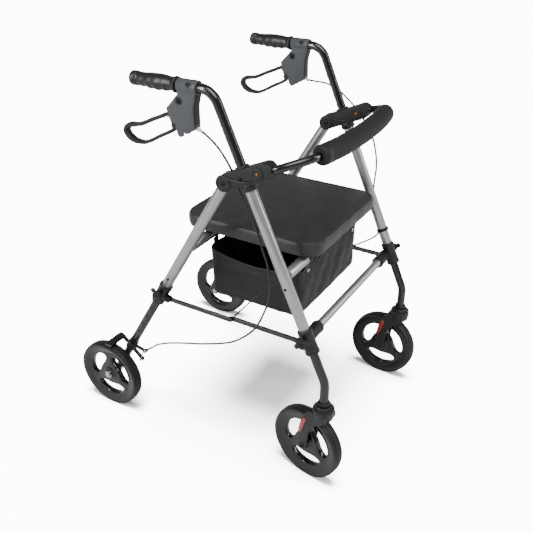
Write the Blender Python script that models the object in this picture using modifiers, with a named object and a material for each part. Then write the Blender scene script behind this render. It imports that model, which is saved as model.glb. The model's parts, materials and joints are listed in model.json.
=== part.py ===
"""Four-wheel rollator walker with a folding seat frame, hand brakes, a flip-up backrest and a bag.

Metres, +Z up, the walker rolls towards -Y, and the user's right-hand side is at -X.
The origin lies on the ground, under the middle of the walker's outline.
"""
import bpy
import bmesh
from math import atan2, cos, degrees, pi, radians, sin, tan
from mathutils import Matrix, Vector

# ---- driving dimensions -------------------------------------------------------------------
FIT = 0.0003                 # gap between pieces that touch
SIDES = {"right": -1, "left": 1}

HALF_TRACK = 0.250           # from the middle of the walker to each side frame
INNER_DIA = 0.022            # black posts and lower legs, which slide in the silver ones
INNER_WALL = 0.0015
SLIDE_GAP = 0.001            # round a black tube in a silver one
LEG_WALL = 0.0015
LEG_DIA = INNER_DIA + 2 * (SLIDE_GAP + LEG_WALL)     # silver legs
FRONT_LEAN = radians(23.95)
REAR_LEAN = radians(31.1)
FRONT_AXIS = (-0.131, 0.797)  # y and z of a point on the front leg's axis
FOLD_PIVOT = (-0.091, 0.758)  # y and z of the pivot that the rear frame folds on

WHEEL_DIA = 0.200
WHEEL_WIDTH = 0.032
TYRE_THICK = 0.006
TYRE_SIDES = 24
HUB_DIA = 0.034
AXLE_DIA = 0.010
CASTER_Y = -0.350
CASTER_TRAIL = 0.044
CASTER_TURN = {"right": radians(10.9), "left": radians(4.2)}
FORK_GAP = 0.0035            # over the tyre
FORK_CROWN = 0.038           # height of the fork above that gap
FORK_ARM = 0.005
STEM_DIA = 0.012
WHEEL_GAP = 0.005            # between the rear leg and the wheel beside it

BRACKET_LENGTH = 0.111       # between the centres of its round ends
BRACKET_RADIUS = LEG_DIA / 2 + 0.0055
BRACKET_THICK = LEG_DIA + 0.007
BACKREST_HINGE = 0.0945      # from the fold pivot, along the bracket
BACKREST_DIA = 0.019
BACKREST_WALL = 0.0015
FOAM_DIA = 0.046
FOAM_HALF = 0.187

FITTING_RADIUS = LEG_DIA / 2 + 0.004
FITTING_BOTTOM = 0.380
FITTING_TOP = 0.437
LEG_FOOT = 0.421             # where the silver legs end inside their fittings
LUG_RADIUS = 0.0085
CROSS_BAR_DIA = 0.021
CROSS_BAR_BACK = 0.012       # how far the bar lies behind the front legs' axes
CROSS_BAR_Z = 0.406
SOCKET_LENGTH = 0.070

STRUT_FRONT_Y = -0.278
STRUT_REAR_Y = 0.0975
STRUT_Z = 0.397
STRUT_DEPTH = 0.0124
STRUT_THICK = 0.0058
STRUT_STEP = 0.0034          # each half lies this far from the side frame's middle plane

SEAT_TUBE_DIA = 0.0254
SEAT_TUBE_Z = 0.558
SEAT_WIDTH = 0.355
SEAT_FRONT = -0.276
SEAT_REAR = 0.092
SEAT_CORNER = 0.045
SEAT_PAD_THICK = 0.028
SEAT_BOARD_THICK = 0.012
SEAT_RISE = 0.0045           # from the seat tubes' tops to the board
SEAT_CLIP_X = 0.105
SEAT_CLIP_WIDTH = 0.040

BAG_WIDTH = 0.340
BAG_BOTTOM = 0.396
BAG_TOP = 0.532
BAG_WALL = 0.003

GRIP_Z = 0.953               # the handle's axis where it is level
POST_BOTTOM = 0.660
POST_BEND = 0.045
HOUSING_SET = 0.0055         # housing and grip start this far behind the post's bend
GRIP_SET = 0.0600
GRIP_LENGTH = 0.1245
HOUSING_THICK = 0.026
LEVER_THICK = 0.018
# outlines as distances from the end of the post's bend, to the rear and up
LEVER_PIVOT = (0.0511, -0.0307)
HOUSING_OUTLINE = [(0.0055, 0.009), (0.006, -0.008), (0.0145, -0.043), (0.014, -0.087),
                   (0.0245, -0.097), (0.0411, -0.0995), (0.0435, -0.108), (0.0541, -0.112),
                   (0.0610, -0.105), (0.0641, -0.0844), (0.0789, -0.0754), (0.0872, -0.0513),
                   (0.0555, -0.017), (0.0535, 0.009)]
LEVER_SLOT = [(0.0440, -0.058), (0.0515, -0.091), (0.0540, -0.123), (0.1225, -0.123),
              (0.1225, -0.063), (0.0925, -0.048)]
LEVER_OUTER = [(0.0460, -0.058), (0.0545, -0.088), (0.0625, -0.0985), (0.0695, -0.1004),
               (0.0934, -0.1132), (0.1313, -0.1330), (0.1665, -0.1485), (0.1925, -0.1475),
               (0.2105, -0.1390), (0.2185, -0.1250), (0.2135, -0.1120), (0.2045, -0.1065),
               (0.1719, -0.1005), (0.1352, -0.0830), (0.0944, -0.0650), (0.0775, -0.0530)]
LEVER_LOOP = [(0.0925, -0.0715), (0.1335, -0.0890), (0.1695, -0.1060), (0.2005, -0.1125),
              (0.2115, -0.1190), (0.2130, -0.1260), (0.2065, -0.1345), (0.1905, -0.1425),
              (0.1680, -0.1432), (0.1333, -0.1280), (0.0965, -0.1085), (0.0825, -0.0970),
              (0.0805, -0.0850), (0.0845, -0.0750)]

BRAKE_DROP = 0.02264         # from the tyre's top down to the brake arm's pivot
BRAKE_COLLAR = INNER_DIA / 2 + 0.0035
BRAKE_PLATE = 0.005
SHOE_GAP = 0.003
SHOE_THICK = 0.008
CABLE_STOP = (-0.0589, 0.0154)   # from the brake arm's pivot, in y and z
ARM_FRONT = (-0.0325, -0.0290)
CABLE_DIA = 0.0055
CABLE_HOLE = 0.0226          # from the fold pivot, along the bracket
BORE_GAP = 0.0005            # round a tube or pin in its hole
PIN_RADIUS = 0.0025
FOLD_ANGLE = 30.0            # degrees, from open to folded
BACKREST_RISE = 18.8         # degrees, of the back bar's arms above level
BOSS_Z = 0.414
BOSS_REACH = FITTING_RADIUS + 0.004
BOSS_RADIUS = 0.009
KNOB_RADIUS = 0.0095
KNOB_THICK = 0.010
KNOB_SPAN = 0.024

# ---- sizes that follow ----------------------------------------------------------------------
WHEEL_RADIUS = WHEEL_DIA / 2
AXLE_Z = WHEEL_RADIUS * cos(pi / TYRE_SIDES)     # the tyre stands on one of its flats
CROWN_BOTTOM = AXLE_Z + WHEEL_RADIUS + FORK_GAP
CROWN_TOP = CROWN_BOTTOM + FORK_CROWN
LEG_RADIUS = LEG_DIA / 2
INNER_RADIUS = INNER_DIA / 2
UP_FRONT = Vector((0, sin(FRONT_LEAN), cos(FRONT_LEAN)))      # up along the front leg
FORWARD = Vector((0, -cos(FRONT_LEAN), sin(FRONT_LEAN)))      # along the bracket
UP_REAR = Vector((0, -sin(REAR_LEAN), cos(REAR_LEAN)))        # up along the rear leg
BACK_REAR = Vector((0, cos(REAR_LEAN), sin(REAR_LEAN)))       # square to it, to the rear
REAR_WHEEL_X = HALF_TRACK + INNER_RADIUS + WHEEL_GAP + WHEEL_WIDTH / 2

PARTS = "rollator_walker"
CUTTERS = "cutters"


def front_leg(x, z):
    """A point on the front leg's axis at a height."""
    return Vector((x, FRONT_AXIS[0] + (z - FRONT_AXIS[1]) * tan(FRONT_LEAN), z))


def rear_leg(x, z):
    """A point on the rear leg's axis at a height."""
    return Vector((x, FOLD_PIVOT[0] - (z - FOLD_PIVOT[1]) * tan(REAR_LEAN), z))


# ---- the scene, the collections and the materials ----------------------------------------------
for old in list(bpy.data.objects):
    bpy.data.objects.remove(old, do_unlink=True)
for name in (PARTS, CUTTERS):
    bpy.context.scene.collection.children.link(bpy.data.collections.new(name))


def finish(name, colour, roughness, metallic=0.0):
    """A plain Principled material; the colour is linear RGB."""
    made = bpy.data.materials.new(name)
    made.use_nodes = True
    shader = made.node_tree.nodes["Principled BSDF"]
    shader.inputs["Base Color"].default_value = (*colour, 1.0)
    shader.inputs["Roughness"].default_value = roughness
    shader.inputs["Metallic"].default_value = metallic
    return made


SILVER = finish("silver_anodised_tube", (0.52, 0.54, 0.55), 0.38, 0.9)
BLACK_TUBE = finish("black_powder_coat", (0.010, 0.010, 0.011), 0.22)
NYLON = finish("black_moulded_nylon", (0.022, 0.023, 0.024), 0.5)
CHARCOAL = finish("charcoal_plastic", (0.10, 0.11, 0.12), 0.5)
RUBBER = finish("black_rubber_grip", (0.028, 0.029, 0.030), 0.6)
FOAM = finish("black_foam", (0.026, 0.027, 0.028), 0.8)
TYRE = finish("grey_black_tyre", (0.030, 0.030, 0.028), 0.7)
WHEEL = finish("gloss_black_wheel", (0.008, 0.008, 0.009), 0.18)
STEEL = finish("zinc_plated_steel", (0.55, 0.55, 0.56), 0.3, 1.0)
VINYL = finish("charcoal_vinyl", (0.060, 0.062, 0.062), 0.5)
PLYWOOD = finish("black_seat_board", (0.020, 0.020, 0.020), 0.6)
FABRIC = finish("black_bag_fabric", (0.016, 0.016, 0.018), 0.8)
CABLE = finish("black_cable_sheath", (0.012, 0.012, 0.012), 0.4)


# ---- shapes -------------------------------------------------------------------------------------
def link(name, mesh, material=None):
    """A new mesh object among the parts."""
    made = bpy.data.objects.new(name, mesh)
    bpy.data.collections[PARTS].objects.link(made)
    if material:
        made.data.materials.append(material)
    return made


def as_mesh(curve_object):
    """Replaces a curve object with a welded mesh object in the same place."""
    bpy.context.view_layer.update()
    graph = bpy.context.evaluated_depsgraph_get()
    mesh = bpy.data.meshes.new_from_object(curve_object.evaluated_get(graph))
    mesh.transform(curve_object.matrix_world)
    shape = bmesh.new()
    shape.from_mesh(mesh)
    bmesh.ops.remove_doubles(shape, verts=shape.verts, dist=0.00001)
    bmesh.ops.recalc_face_normals(shape, faces=shape.faces)
    shape.to_mesh(mesh)
    shape.free()
    name = curve_object.name
    bpy.data.objects.remove(curve_object, do_unlink=True)
    return link(name, mesh)


def wire(name, points, diameter, rings=4, caps=True):
    """A round bar along straight stretches between points, as a mesh object."""
    curve = bpy.data.curves.new(name, "CURVE")
    curve.dimensions = "3D"
    curve.bevel_depth = diameter / 2
    curve.bevel_resolution = rings
    curve.use_fill_caps = caps
    spline = curve.splines.new("POLY")
    spline.points.add(len(points) - 1)
    for spot, point in zip(spline.points, points):
        spot.co = (*point, 1.0)
    made = bpy.data.objects.new(name, curve)
    bpy.data.collections[PARTS].objects.link(made)
    return as_mesh(made)


def bar(name, points, diameter, material, rings=4):
    """A solid round bar."""
    made = wire(name, points, diameter, rings)
    made.data.materials.append(material)
    return made


def tube(name, points, diameter, wall, material, rings=4):
    """A hollow round tube with open ends."""
    made = wire(name, points, diameter, rings, caps=False)
    made.data.materials.append(material)
    solid = made.modifiers.new("wall", "SOLIDIFY")
    solid.thickness = wall
    solid.offset = -1
    solid.use_even_offset = True
    return made


def smooth_path(points, step):
    """Points every step along a smooth curve through the given ones."""
    padded = [2 * points[0] - points[1], *points, 2 * points[-1] - points[-2]]
    path = []
    for k in range(len(points) - 1):
        before, start, end, after = padded[k:k + 4]
        count = max(1, round((end - start).length / step))
        for n in range(count):
            t = n / count
            path.append(0.5 * (2 * start + (end - before) * t
                               + (2 * before - 5 * start + 4 * end - after) * t ** 2
                               + (3 * start - before - 3 * end + after) * t ** 3))
    return [*path, points[-1]]


def bend(corner, before, after, radius, steps):
    """Points of an arc that rounds the corner between two straight runs."""
    inward = (before - corner).normalized()
    onward = (after - corner).normalized()
    half = inward.angle(onward) / 2
    centre = corner + (inward + onward).normalized() * radius / sin(half)
    start = corner + inward * radius / tan(half)
    end = corner + onward * radius / tan(half)
    turn = (start - centre).angle(end - centre)
    axis = (start - centre).cross(end - centre).normalized()
    return [centre + Matrix.Rotation(turn * k / steps, 3, axis) @ (start - centre)
            for k in range(steps + 1)]


def arc(centre, radius, start, end, steps):
    """Points of an arc in a plane, from one angle in degrees to another."""
    angles = [radians(start + (end - start) * k / steps) for k in range(steps + 1)]
    return [(centre[0] + radius * cos(a), centre[1] + radius * sin(a)) for a in angles]


def capsule(start, end, radius, steps=6):
    """An outline with round ends about two centres."""
    along = degrees(atan2(end[1] - start[1], end[0] - start[0]))
    return (arc(start, radius, along + 90, along + 270, steps)
            + arc(end, radius, along - 90, along + 90, steps))


def fan(centre, radius, reach, first, last):
    """The outline that a bar of that radius sweeps between two angles in degrees."""
    def toward(angle, length):
        return Vector((cos(radians(angle)), sin(radians(angle)))) * length

    centre = Vector(centre)
    return ([centre + toward(first - 90, radius) + toward(first, reach),
             centre + toward((first + last) / 2, reach * 1.3),
             centre + toward(last + 90, radius) + toward(last, reach)]
            + arc(centre, radius, last + 90, first + 270, 8))


def outline_solid(name, outlines, thickness, placed, material):
    """A flat outline, with any further ones as holes in it, thickened both ways."""
    curve = bpy.data.curves.new(name, "CURVE")
    curve.dimensions = "2D"
    curve.fill_mode = "BOTH"
    curve.extrude = thickness / 2
    for outline in outlines:
        spline = curve.splines.new("POLY")
        spline.points.add(len(outline) - 1)
        for spot, (u, v) in zip(spline.points, outline):
            spot.co = (u, v, 0.0, 1.0)
        spline.use_cyclic_u = True
    made = bpy.data.objects.new(name, curve)
    bpy.data.collections[PARTS].objects.link(made)
    made.matrix_world = placed
    made = as_mesh(made)
    if material:
        made.data.materials.append(material)
    return made


def side_plate(name, outlines, thickness, x, material=None):
    """An outline given as y and z, thickened along X about x."""
    placed = Matrix(((0, 0, 1, x), (1, 0, 0, 0), (0, 1, 0, 0), (0, 0, 0, 1)))
    return outline_solid(name, outlines, thickness, placed, material)


def slab(name, outlines, low, high, material=None):
    """An outline given as x and y, between two heights."""
    placed = Matrix.Translation((0, 0, (low + high) / 2))
    return outline_solid(name, outlines, high - low, placed, material)


def rod(name, start, end, radius, material=None, sides=12):
    """A cylinder between two points."""
    start, end = Vector(start), Vector(end)
    mesh = bpy.data.meshes.new(name)
    shape = bmesh.new()
    bmesh.ops.create_cone(shape, cap_ends=True, segments=sides, radius1=radius, radius2=radius,
                          depth=(end - start).length)
    facing = (end - start).to_track_quat("Z", "Y").to_matrix().to_4x4()
    shape.transform(Matrix.Translation((start + end) / 2) @ facing)
    shape.to_mesh(mesh)
    shape.free()
    return link(name, mesh, material)


def block(name, low, high, material=None):
    """A box between two corners."""
    low, high = Vector(low), Vector(high)
    mesh = bpy.data.meshes.new(name)
    shape = bmesh.new()
    bmesh.ops.create_cube(shape, size=1.0)
    shape.transform(Matrix.Translation((low + high) / 2) @ Matrix.Diagonal((*(high - low), 1)))
    shape.to_mesh(mesh)
    shape.free()
    return link(name, mesh, material)


def turned(name, profile, placed, material, steps):
    """A profile of radius and height turned about Z, then placed."""
    mesh = bpy.data.meshes.new(name)
    shape = bmesh.new()
    spots = [shape.verts.new((radius, 0, height)) for radius, height in profile]
    for first, second in zip(spots, spots[1:]):
        shape.edges.new((first, second))
    if profile[0][0] > 0:
        shape.edges.new((spots[-1], spots[0]))
    shape.to_mesh(mesh)
    shape.free()
    made = link(name, mesh, material)
    screw = made.modifiers.new("turn", "SCREW")
    screw.steps = screw.render_steps = steps
    screw.use_merge_vertices = True
    screw.merge_threshold = 0.0001
    screw.use_smooth_shade = False
    made.matrix_world = placed
    return made


def combine(body, others, operation):
    """Boolean modifiers that join other shapes to a body or cut them from it."""
    for other in others:
        bpy.data.collections[PARTS].objects.unlink(other)
        bpy.data.collections[CUTTERS].objects.link(other)
        other.hide_render = True
        other.display_type = "WIRE"
        step = body.modifiers.new(other.name, "BOOLEAN")
        step.object = other
        step.operation = operation
    return body


def join(body, *others):
    return combine(body, others, "UNION")


def cut(body, *others):
    return combine(body, others, "DIFFERENCE")


def hang(made, parent):
    """Parents an object to an empty, which only moves it, and leaves it where it is."""
    if parent:
        made.parent = parent
        made.matrix_parent_inverse = Matrix.Translation(-parent.location)
    return made


def pivot(name, at, parent=None):
    """An empty on a joint's axis."""
    made = bpy.data.objects.new(name, None)
    bpy.data.collections[PARTS].objects.link(made)
    made.empty_display_size = 0.03
    made.location = at
    return hang(made, parent)


# ---- wheels, the same at each corner --------------------------------------------------------
def wheel_set(corner, centre, turn, parent):
    """A spoked wheel with its tyre and axle, rolling about X turned by a swivel angle."""
    facing = Matrix.Translation(centre) @ Matrix.Rotation(-turn, 4, "Z")
    rim = WHEEL_RADIUS - TYRE_THICK - FIT
    inner_rim = rim - 0.017
    hub = HUB_DIA / 2
    half_step = 180 / TYRE_SIDES
    outlines = [arc((0, 0), rim, half_step, 360 - half_step, TYRE_SIDES - 1)]
    for k in range(3):
        start = 90 + 120 * k
        outer = arc((0, 0), inner_rim, start + 17, start + 103, 7)
        inner = arc((0, 0), hub + 0.012, start + 78, start + 42, 3)
        outlines.append(outer + inner)
    lying = Matrix(((0, 0, 1, 0), (1, 0, 0, 0), (0, 1, 0, 0), (0, 0, 0, 1)))
    wheel = outline_solid(corner + "_wheel", outlines, WHEEL_WIDTH * 0.62, facing @ lying, WHEEL)
    side = facing.to_3x3() @ Vector((1, 0, 0))
    reach = side * WHEEL_WIDTH / 2
    join(wheel, rod(corner + "_hub_cutter", centre - reach, centre + reach, hub))
    bore = side * WHEEL_WIDTH
    cut(wheel, rod(corner + "_bore_cutter", centre - bore, centre + bore,
                   AXLE_DIA / 2 + FIT, sides=12))
    half = WHEEL_WIDTH / 2
    profile = [(WHEEL_RADIUS, half * 0.45), (WHEEL_RADIUS, -half * 0.45),
               (rim + FIT, -half * 0.9), (rim + FIT, half * 0.9)]
    rolling = Matrix.Rotation(pi / 2, 4, "Y") @ Matrix.Rotation(pi / TYRE_SIDES, 4, "Z")
    tyre = turned(corner + "_tyre", profile, facing @ rolling, TYRE, TYRE_SIDES)
    for piece in (wheel, tyre):
        hang(piece, parent)
    return side


def axle(name, centre, turn, inner, outer, parent):
    """A bolt along the wheel's own axis between two distances from the wheel's middle."""
    along = Matrix.Rotation(-turn, 3, "Z") @ Vector((1, 0, 0))
    made = rod(name, centre + along * inner, centre + along * outer, AXLE_DIA / 2, STEEL)
    return hang(made, parent)


# ---- what both sides have -------------------------------------------------------------------
def fitting(name, sleeve_axis, up, x, lug_y, toward, *sockets):
    """The nylon clamp at a leg's foot, with the strut's lug and the wing knob's boss."""
    top = sleeve_axis(x, FITTING_TOP)
    foot = sleeve_axis(x, LEG_FOOT) - up * FIT
    made = rod(name, sleeve_axis(x, FITTING_BOTTOM), top, FITTING_RADIUS, NYLON)
    sign = 1 if x > 0 else -1
    bar_x = x + sign * STRUT_STEP * toward
    lug_at = (lug_y, STRUT_Z)
    root = sleeve_axis(x, STRUT_Z).yz
    lug = side_plate(name + "_lug", [capsule(root, lug_at, LUG_RADIUS)], STRUT_THICK + 0.0086, bar_x)
    boss_at = sleeve_axis(x, BOSS_Z)
    boss = rod(name + "_boss", boss_at + Vector((sign * 0.008, 0, 0)),
               boss_at + Vector((sign * BOSS_REACH, 0, 0)), BOSS_RADIUS)
    join(made, lug, boss, *sockets)
    slot_half = STRUT_THICK / 2 + FIT
    clear = STRUT_DEPTH / 2 + 0.0010
    near, far = lug_y + toward * clear, lug_y - toward * 0.030
    slot = block(name + "_slot", (bar_x - slot_half, min(near, far), STRUT_Z - 0.020),
                 (bar_x + slot_half, max(near, far), STRUT_Z + 0.020))
    upper = rod(name + "_leg_bore", foot, top + up * 0.010, LEG_RADIUS + BORE_GAP, sides=16)
    lower = rod(name + "_inner_bore", foot - up * 0.080, foot + up * 0.010,
                INNER_RADIUS + BORE_GAP, sides=16)
    cut(made, slot, upper, lower)
    pin_half = (STRUT_THICK + 0.0086) / 2 - FIT
    pin = rod(name + "_pin", (bar_x - pin_half, *lug_at), (bar_x + pin_half, *lug_at),
              PIN_RADIUS)
    return join(made, pin)


def wing_knob(name, at, sign, angle, parent):
    """A wing screw whose hub turns on a fitting's boss."""
    start = Vector((sign * (BOSS_REACH + FIT), 0, 0))
    made = rod(name, at + start, at + start + Vector((sign * KNOB_THICK, 0, 0)), KNOB_RADIUS, NYLON)
    wing = Vector((cos(radians(angle)), sin(radians(angle)))) * KNOB_SPAN
    middle = Vector(at.yz)
    x = at.x + sign * (BOSS_REACH + KNOB_THICK * 0.7)
    join(made, side_plate(name + "_wings", [capsule(middle - wing, middle + wing, 0.0065)],
                          KNOB_THICK * 0.5, x))
    return hang(made, pivot(name + "_axis", at, parent))


def strut_half(name, x, start, end, parent):
    """One flat bar of the folding strut, drilled at its fitting end."""
    made = side_plate(name, [capsule(start, end, STRUT_DEPTH / 2, 5)], STRUT_THICK, x, BLACK_TUBE)
    cut(made, rod(name + "_eye", (x - 0.01, *start), (x + 0.01, *start),
                  PIN_RADIUS + BORE_GAP, sides=12))
    return hang(made, parent)


def fork(name, stem_at, turn, parent):
    """A caster fork: a round crown, two arms beside the wheel and the stem it swivels on."""
    placed = Matrix.Translation((stem_at.x, stem_at.y, 0)) @ Matrix.Rotation(-turn, 4, "Z")
    arm_x = WHEEL_WIDTH / 2 + 0.0025 + FORK_ARM / 2
    outer = arm_x + FORK_ARM / 2
    made = rod(name, (0, 0, CROWN_BOTTOM), (0, 0, CROWN_TOP), 0.0265, CHARCOAL)
    bridge = block(name + "_bridge", (0.0003 - outer, -0.023, CROWN_BOTTOM + 0.0003),
                   (outer - 0.0003, 0.030, CROWN_BOTTOM + 0.019))
    stem = rod(name + "_stem", (0, 0, CROWN_TOP - 0.010), (0, 0, CROWN_TOP + 0.045),
               STEM_DIA / 2)
    eye = (CASTER_TRAIL, AXLE_Z)
    arm = ([(-0.0215, CROWN_BOTTOM + 0.001), (-0.0205, CROWN_BOTTOM + 0.0175),
            (0.0285, CROWN_BOTTOM + 0.0175),
            (0.046, CROWN_BOTTOM - 0.010),
            (0.058, AXLE_Z + 0.050)]
           + arc(eye, 0.012, 20, -160, 6)
           + [(0.028, AXLE_Z + 0.045), (0.006, CROWN_BOTTOM - 0.022)])
    pieces = [bridge, stem]
    for beside in (-arm_x, arm_x):
        pieces.append(side_plate(name + "_arm", [arm], FORK_ARM, beside))
    hole = rod(name + "_axle_hole", (-0.05, *eye), (0.05, *eye), AXLE_DIA / 2 + FIT)
    for piece in [made, hole, *pieces]:
        piece.data.transform(placed)
    join(made, *pieces)
    cut(made, hole)
    return hang(made, parent)


for side, sign in SIDES.items():
    x = sign * HALF_TRACK
    across = Vector((1, 0, 0))
    fold_at = Vector((x, *FOLD_PIVOT))
    fold = pivot("fold_axis_" + side, fold_at)

    # bracket that holds the legs, the handle post and the back bar together
    leg_top = fold_at + FORWARD * (Vector((x, *FRONT_AXIS)) - fold_at).dot(FORWARD)
    hinge = fold_at + FORWARD * BACKREST_HINGE
    front_end = fold_at + FORWARD * BRACKET_LENGTH
    bracket = side_plate("bracket_" + side, [capsule(fold_at.yz, front_end.yz, BRACKET_RADIUS, 8)],
                         BRACKET_THICK, x, NYLON)
    down_rear = degrees(REAR_LEAN) - 90
    leg_slot = fan(fold_at.yz, LEG_RADIUS + 0.0011, 0.06, down_rear - FOLD_ANGLE - 1, down_rear + 1)
    arm_slot = fan(hinge.yz, BACKREST_DIA / 2 + 0.0013, 0.06,
                   180 - BACKREST_RISE - 92, 180 - BACKREST_RISE + 2)
    cable_hole = fold_at + FORWARD * CABLE_HOLE
    cut(bracket,
        rod("leg_bore_" + side, leg_top - UP_FRONT * 0.04, leg_top + UP_FRONT * 0.0105,
            LEG_RADIUS + BORE_GAP, sides=16),
        rod("post_bore_" + side, leg_top, leg_top + UP_FRONT * 0.04, INNER_RADIUS + BORE_GAP, sides=16),
        side_plate("leg_slot_" + side, [leg_slot], LEG_DIA + 2 * FIT, x),
        side_plate("arm_slot_" + side, [arm_slot], BACKREST_DIA + 2 * FIT, x),
        rod("cable_hole_" + side, cable_hole - UP_FRONT * 0.04, cable_hole + UP_FRONT * 0.04,
            CABLE_DIA / 2 + BORE_GAP, sides=12))

    # silver front leg, the clamp at its foot and the black lower leg that slides in it
    tube("front_leg_" + side, [front_leg(x, LEG_FOOT), leg_top + UP_FRONT * 0.0100],
         LEG_DIA, LEG_WALL, SILVER)
    bar_at = front_leg(x, CROSS_BAR_Z) + Vector((0, CROSS_BAR_BACK, 0))
    bar_end = Vector((x - sign * (LEG_RADIUS + 0.0030), bar_at.y, bar_at.z))
    socket = rod("socket_" + side, bar_at, bar_at - across * sign * SOCKET_LENGTH,
                 CROSS_BAR_DIA / 2 + 0.005)
    front_fitting = fitting("front_fitting_" + side, front_leg, UP_FRONT, x, STRUT_FRONT_Y, -1, socket)
    cut(front_fitting, rod("socket_bore_" + side, bar_end, bar_at - across * sign * 0.10,
                           CROSS_BAR_DIA / 2 + BORE_GAP, sides=16))
    corner = front_leg(x, FRONT_AXIS[1] + (CASTER_Y - FRONT_AXIS[0]) / tan(FRONT_LEAN))
    foot = Vector((x, CASTER_Y, CROWN_TOP + 2 * FIT))
    front_lower = pivot("front_lower_axis_" + side, corner)
    hang(tube("front_lower_leg_" + side,
              [front_leg(x, 0.520), *bend(corner, front_leg(x, 0.520), foot, 0.055, 4), foot],
              INNER_DIA, INNER_WALL, BLACK_TUBE), front_lower)

    # caster
    turn = CASTER_TURN[side]
    stem = Vector((x, CASTER_Y, 0))
    swivel = pivot("caster_axis_" + side, stem + Vector((0, 0, CROWN_TOP)), front_lower)
    fork("caster_fork_" + side, stem, turn, swivel)
    trail = Vector((sin(turn), cos(turn), 0)) * CASTER_TRAIL
    centre = stem + trail + Vector((0, 0, AXLE_Z))
    roll = pivot("front_wheel_axis_" + side, centre, swivel)
    wheel_set("front_" + side, centre, turn, roll)
    axle("front_axle_" + side, centre, turn, -0.026, 0.026, swivel)

    # silver rear leg, which folds on the bracket, and its lower leg
    hang(tube("rear_leg_" + side, [rear_leg(x, LEG_FOOT), fold_at + UP_REAR * 0.0045],
              LEG_DIA, LEG_WALL, SILVER), fold)
    hang(fitting("rear_fitting_" + side, rear_leg, UP_REAR, x, STRUT_REAR_Y, 1), fold)
    rear_foot = rear_leg(x, AXLE_Z)
    rear_lower = pivot("rear_lower_axis_" + side, rear_foot, fold)
    lower = tube("rear_lower_leg_" + side, [rear_leg(x, 0.500), rear_foot - UP_REAR * 0.014],
                 INNER_DIA, INNER_WALL, BLACK_TUBE)
    cut(lower, rod("axle_hole_" + side, rear_foot - across * 0.05, rear_foot + across * 0.05,
                   AXLE_DIA / 2 + BORE_GAP, sides=12))
    hang(lower, rear_lower)

    # rear wheel outboard of the leg
    centre = Vector((sign * REAR_WHEEL_X, rear_foot.y, AXLE_Z))
    roll = pivot("rear_wheel_axis_" + side, centre, rear_lower)
    wheel_set("rear_" + side, centre, 0, roll)
    inner = -sign * (REAR_WHEEL_X - HALF_TRACK + INNER_RADIUS + 0.003)
    axle("rear_axle_" + side, centre, 0, inner, sign * (WHEEL_WIDTH / 2 + 0.0035), rear_lower)

    # rear brake: a collar with the cable's stop, and the arm that presses a shoe on the tyre
    brake_at = rear_leg(x, AXLE_Z + WHEEL_RADIUS - BRAKE_DROP)
    collar_start = brake_at + UP_REAR * 0.014
    collar = rod("brake_bracket_" + side, collar_start, collar_start + UP_REAR * 0.026,
                 BRAKE_COLLAR, NYLON)
    stop = brake_at + Vector((0, *CABLE_STOP))
    arrival = Vector((0, 0.783, -0.622))
    lug = side_plate("stop_lug_" + side, [capsule((collar_start + UP_REAR * 0.014).yz, stop.yz, 0.0055)],
                     BRAKE_PLATE, x)
    ring = rod("stop_ring_" + side, stop - arrival * 0.0058, stop + arrival * 0.004, 0.0058)
    ear_x = x - sign * (INNER_RADIUS + 2 * FIT + 1.6 * BRAKE_PLATE)
    ear = side_plate("pivot_ear_" + side,
                     [capsule(brake_at.yz, (collar_start + UP_REAR * 0.012).yz, 0.0075)],
                     BRAKE_PLATE, ear_x)
    plate_x = x - sign * (INNER_RADIUS + FIT + BRAKE_PLATE / 2)
    foot_block = rod("ear_foot_" + side, collar_start + UP_REAR * 0.013,
                     Vector((ear_x, *(collar_start + UP_REAR * 0.013).yz)), 0.006)
    pin = rod("brake_pin_" + side, (ear_x, *brake_at.yz),
              (x - sign * (INNER_RADIUS + 2 * FIT), *brake_at.yz), PIN_RADIUS)
    join(collar, lug, ring, ear, foot_block)
    cut(collar, rod("collar_bore_" + side, collar_start - UP_REAR * 0.02,
                    collar_start + UP_REAR * 0.05, INNER_RADIUS + BORE_GAP, sides=16))
    join(collar, pin)
    hang(collar, rear_lower)
    brake_axis = pivot("brake_axis_" + side, brake_at, rear_lower)
    shoe_angle = radians(97)
    shoe_out = WHEEL_RADIUS + SHOE_GAP + SHOE_THICK / 2
    shoe_at = Vector((0, centre.y + shoe_out * cos(shoe_angle), AXLE_Z + shoe_out * sin(shoe_angle)))
    arm = side_plate("brake_arm_" + side,
                     [capsule((brake_at + Vector((0, *ARM_FRONT))).yz, shoe_at.yz, 0.0070)],
                     BRAKE_PLATE, plate_x, BLACK_TUBE)
    shoe_start = abs(plate_x) - BRAKE_PLATE / 2
    shoe_end = REAR_WHEEL_X + WHEEL_WIDTH / 2 - 0.001
    shoe = block("brake_shoe_" + side, (-(shoe_end - shoe_start) / 2, -0.011, -SHOE_THICK / 2),
                 ((shoe_end - shoe_start) / 2, 0.011, SHOE_THICK / 2))
    shoe.data.transform(Matrix.Translation((sign * (shoe_start + shoe_end) / 2, shoe_at.y, shoe_at.z))
                        @ Matrix.Rotation(shoe_angle - pi / 2, 4, "X"))
    join(arm, shoe)
    cut(arm, rod("arm_eye_" + side, (plate_x - 0.01, *brake_at.yz), (plate_x + 0.01, *brake_at.yz),
                 PIN_RADIUS + BORE_GAP, sides=12))
    hang(arm, brake_axis)

    # wing knobs that clamp the lower legs
    wing_knob("front_wing_knob_" + side, front_leg(x, BOSS_Z), sign, 148, None)
    wing_knob("rear_wing_knob_" + side, rear_leg(x, BOSS_Z), sign, 54, fold)

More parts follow.
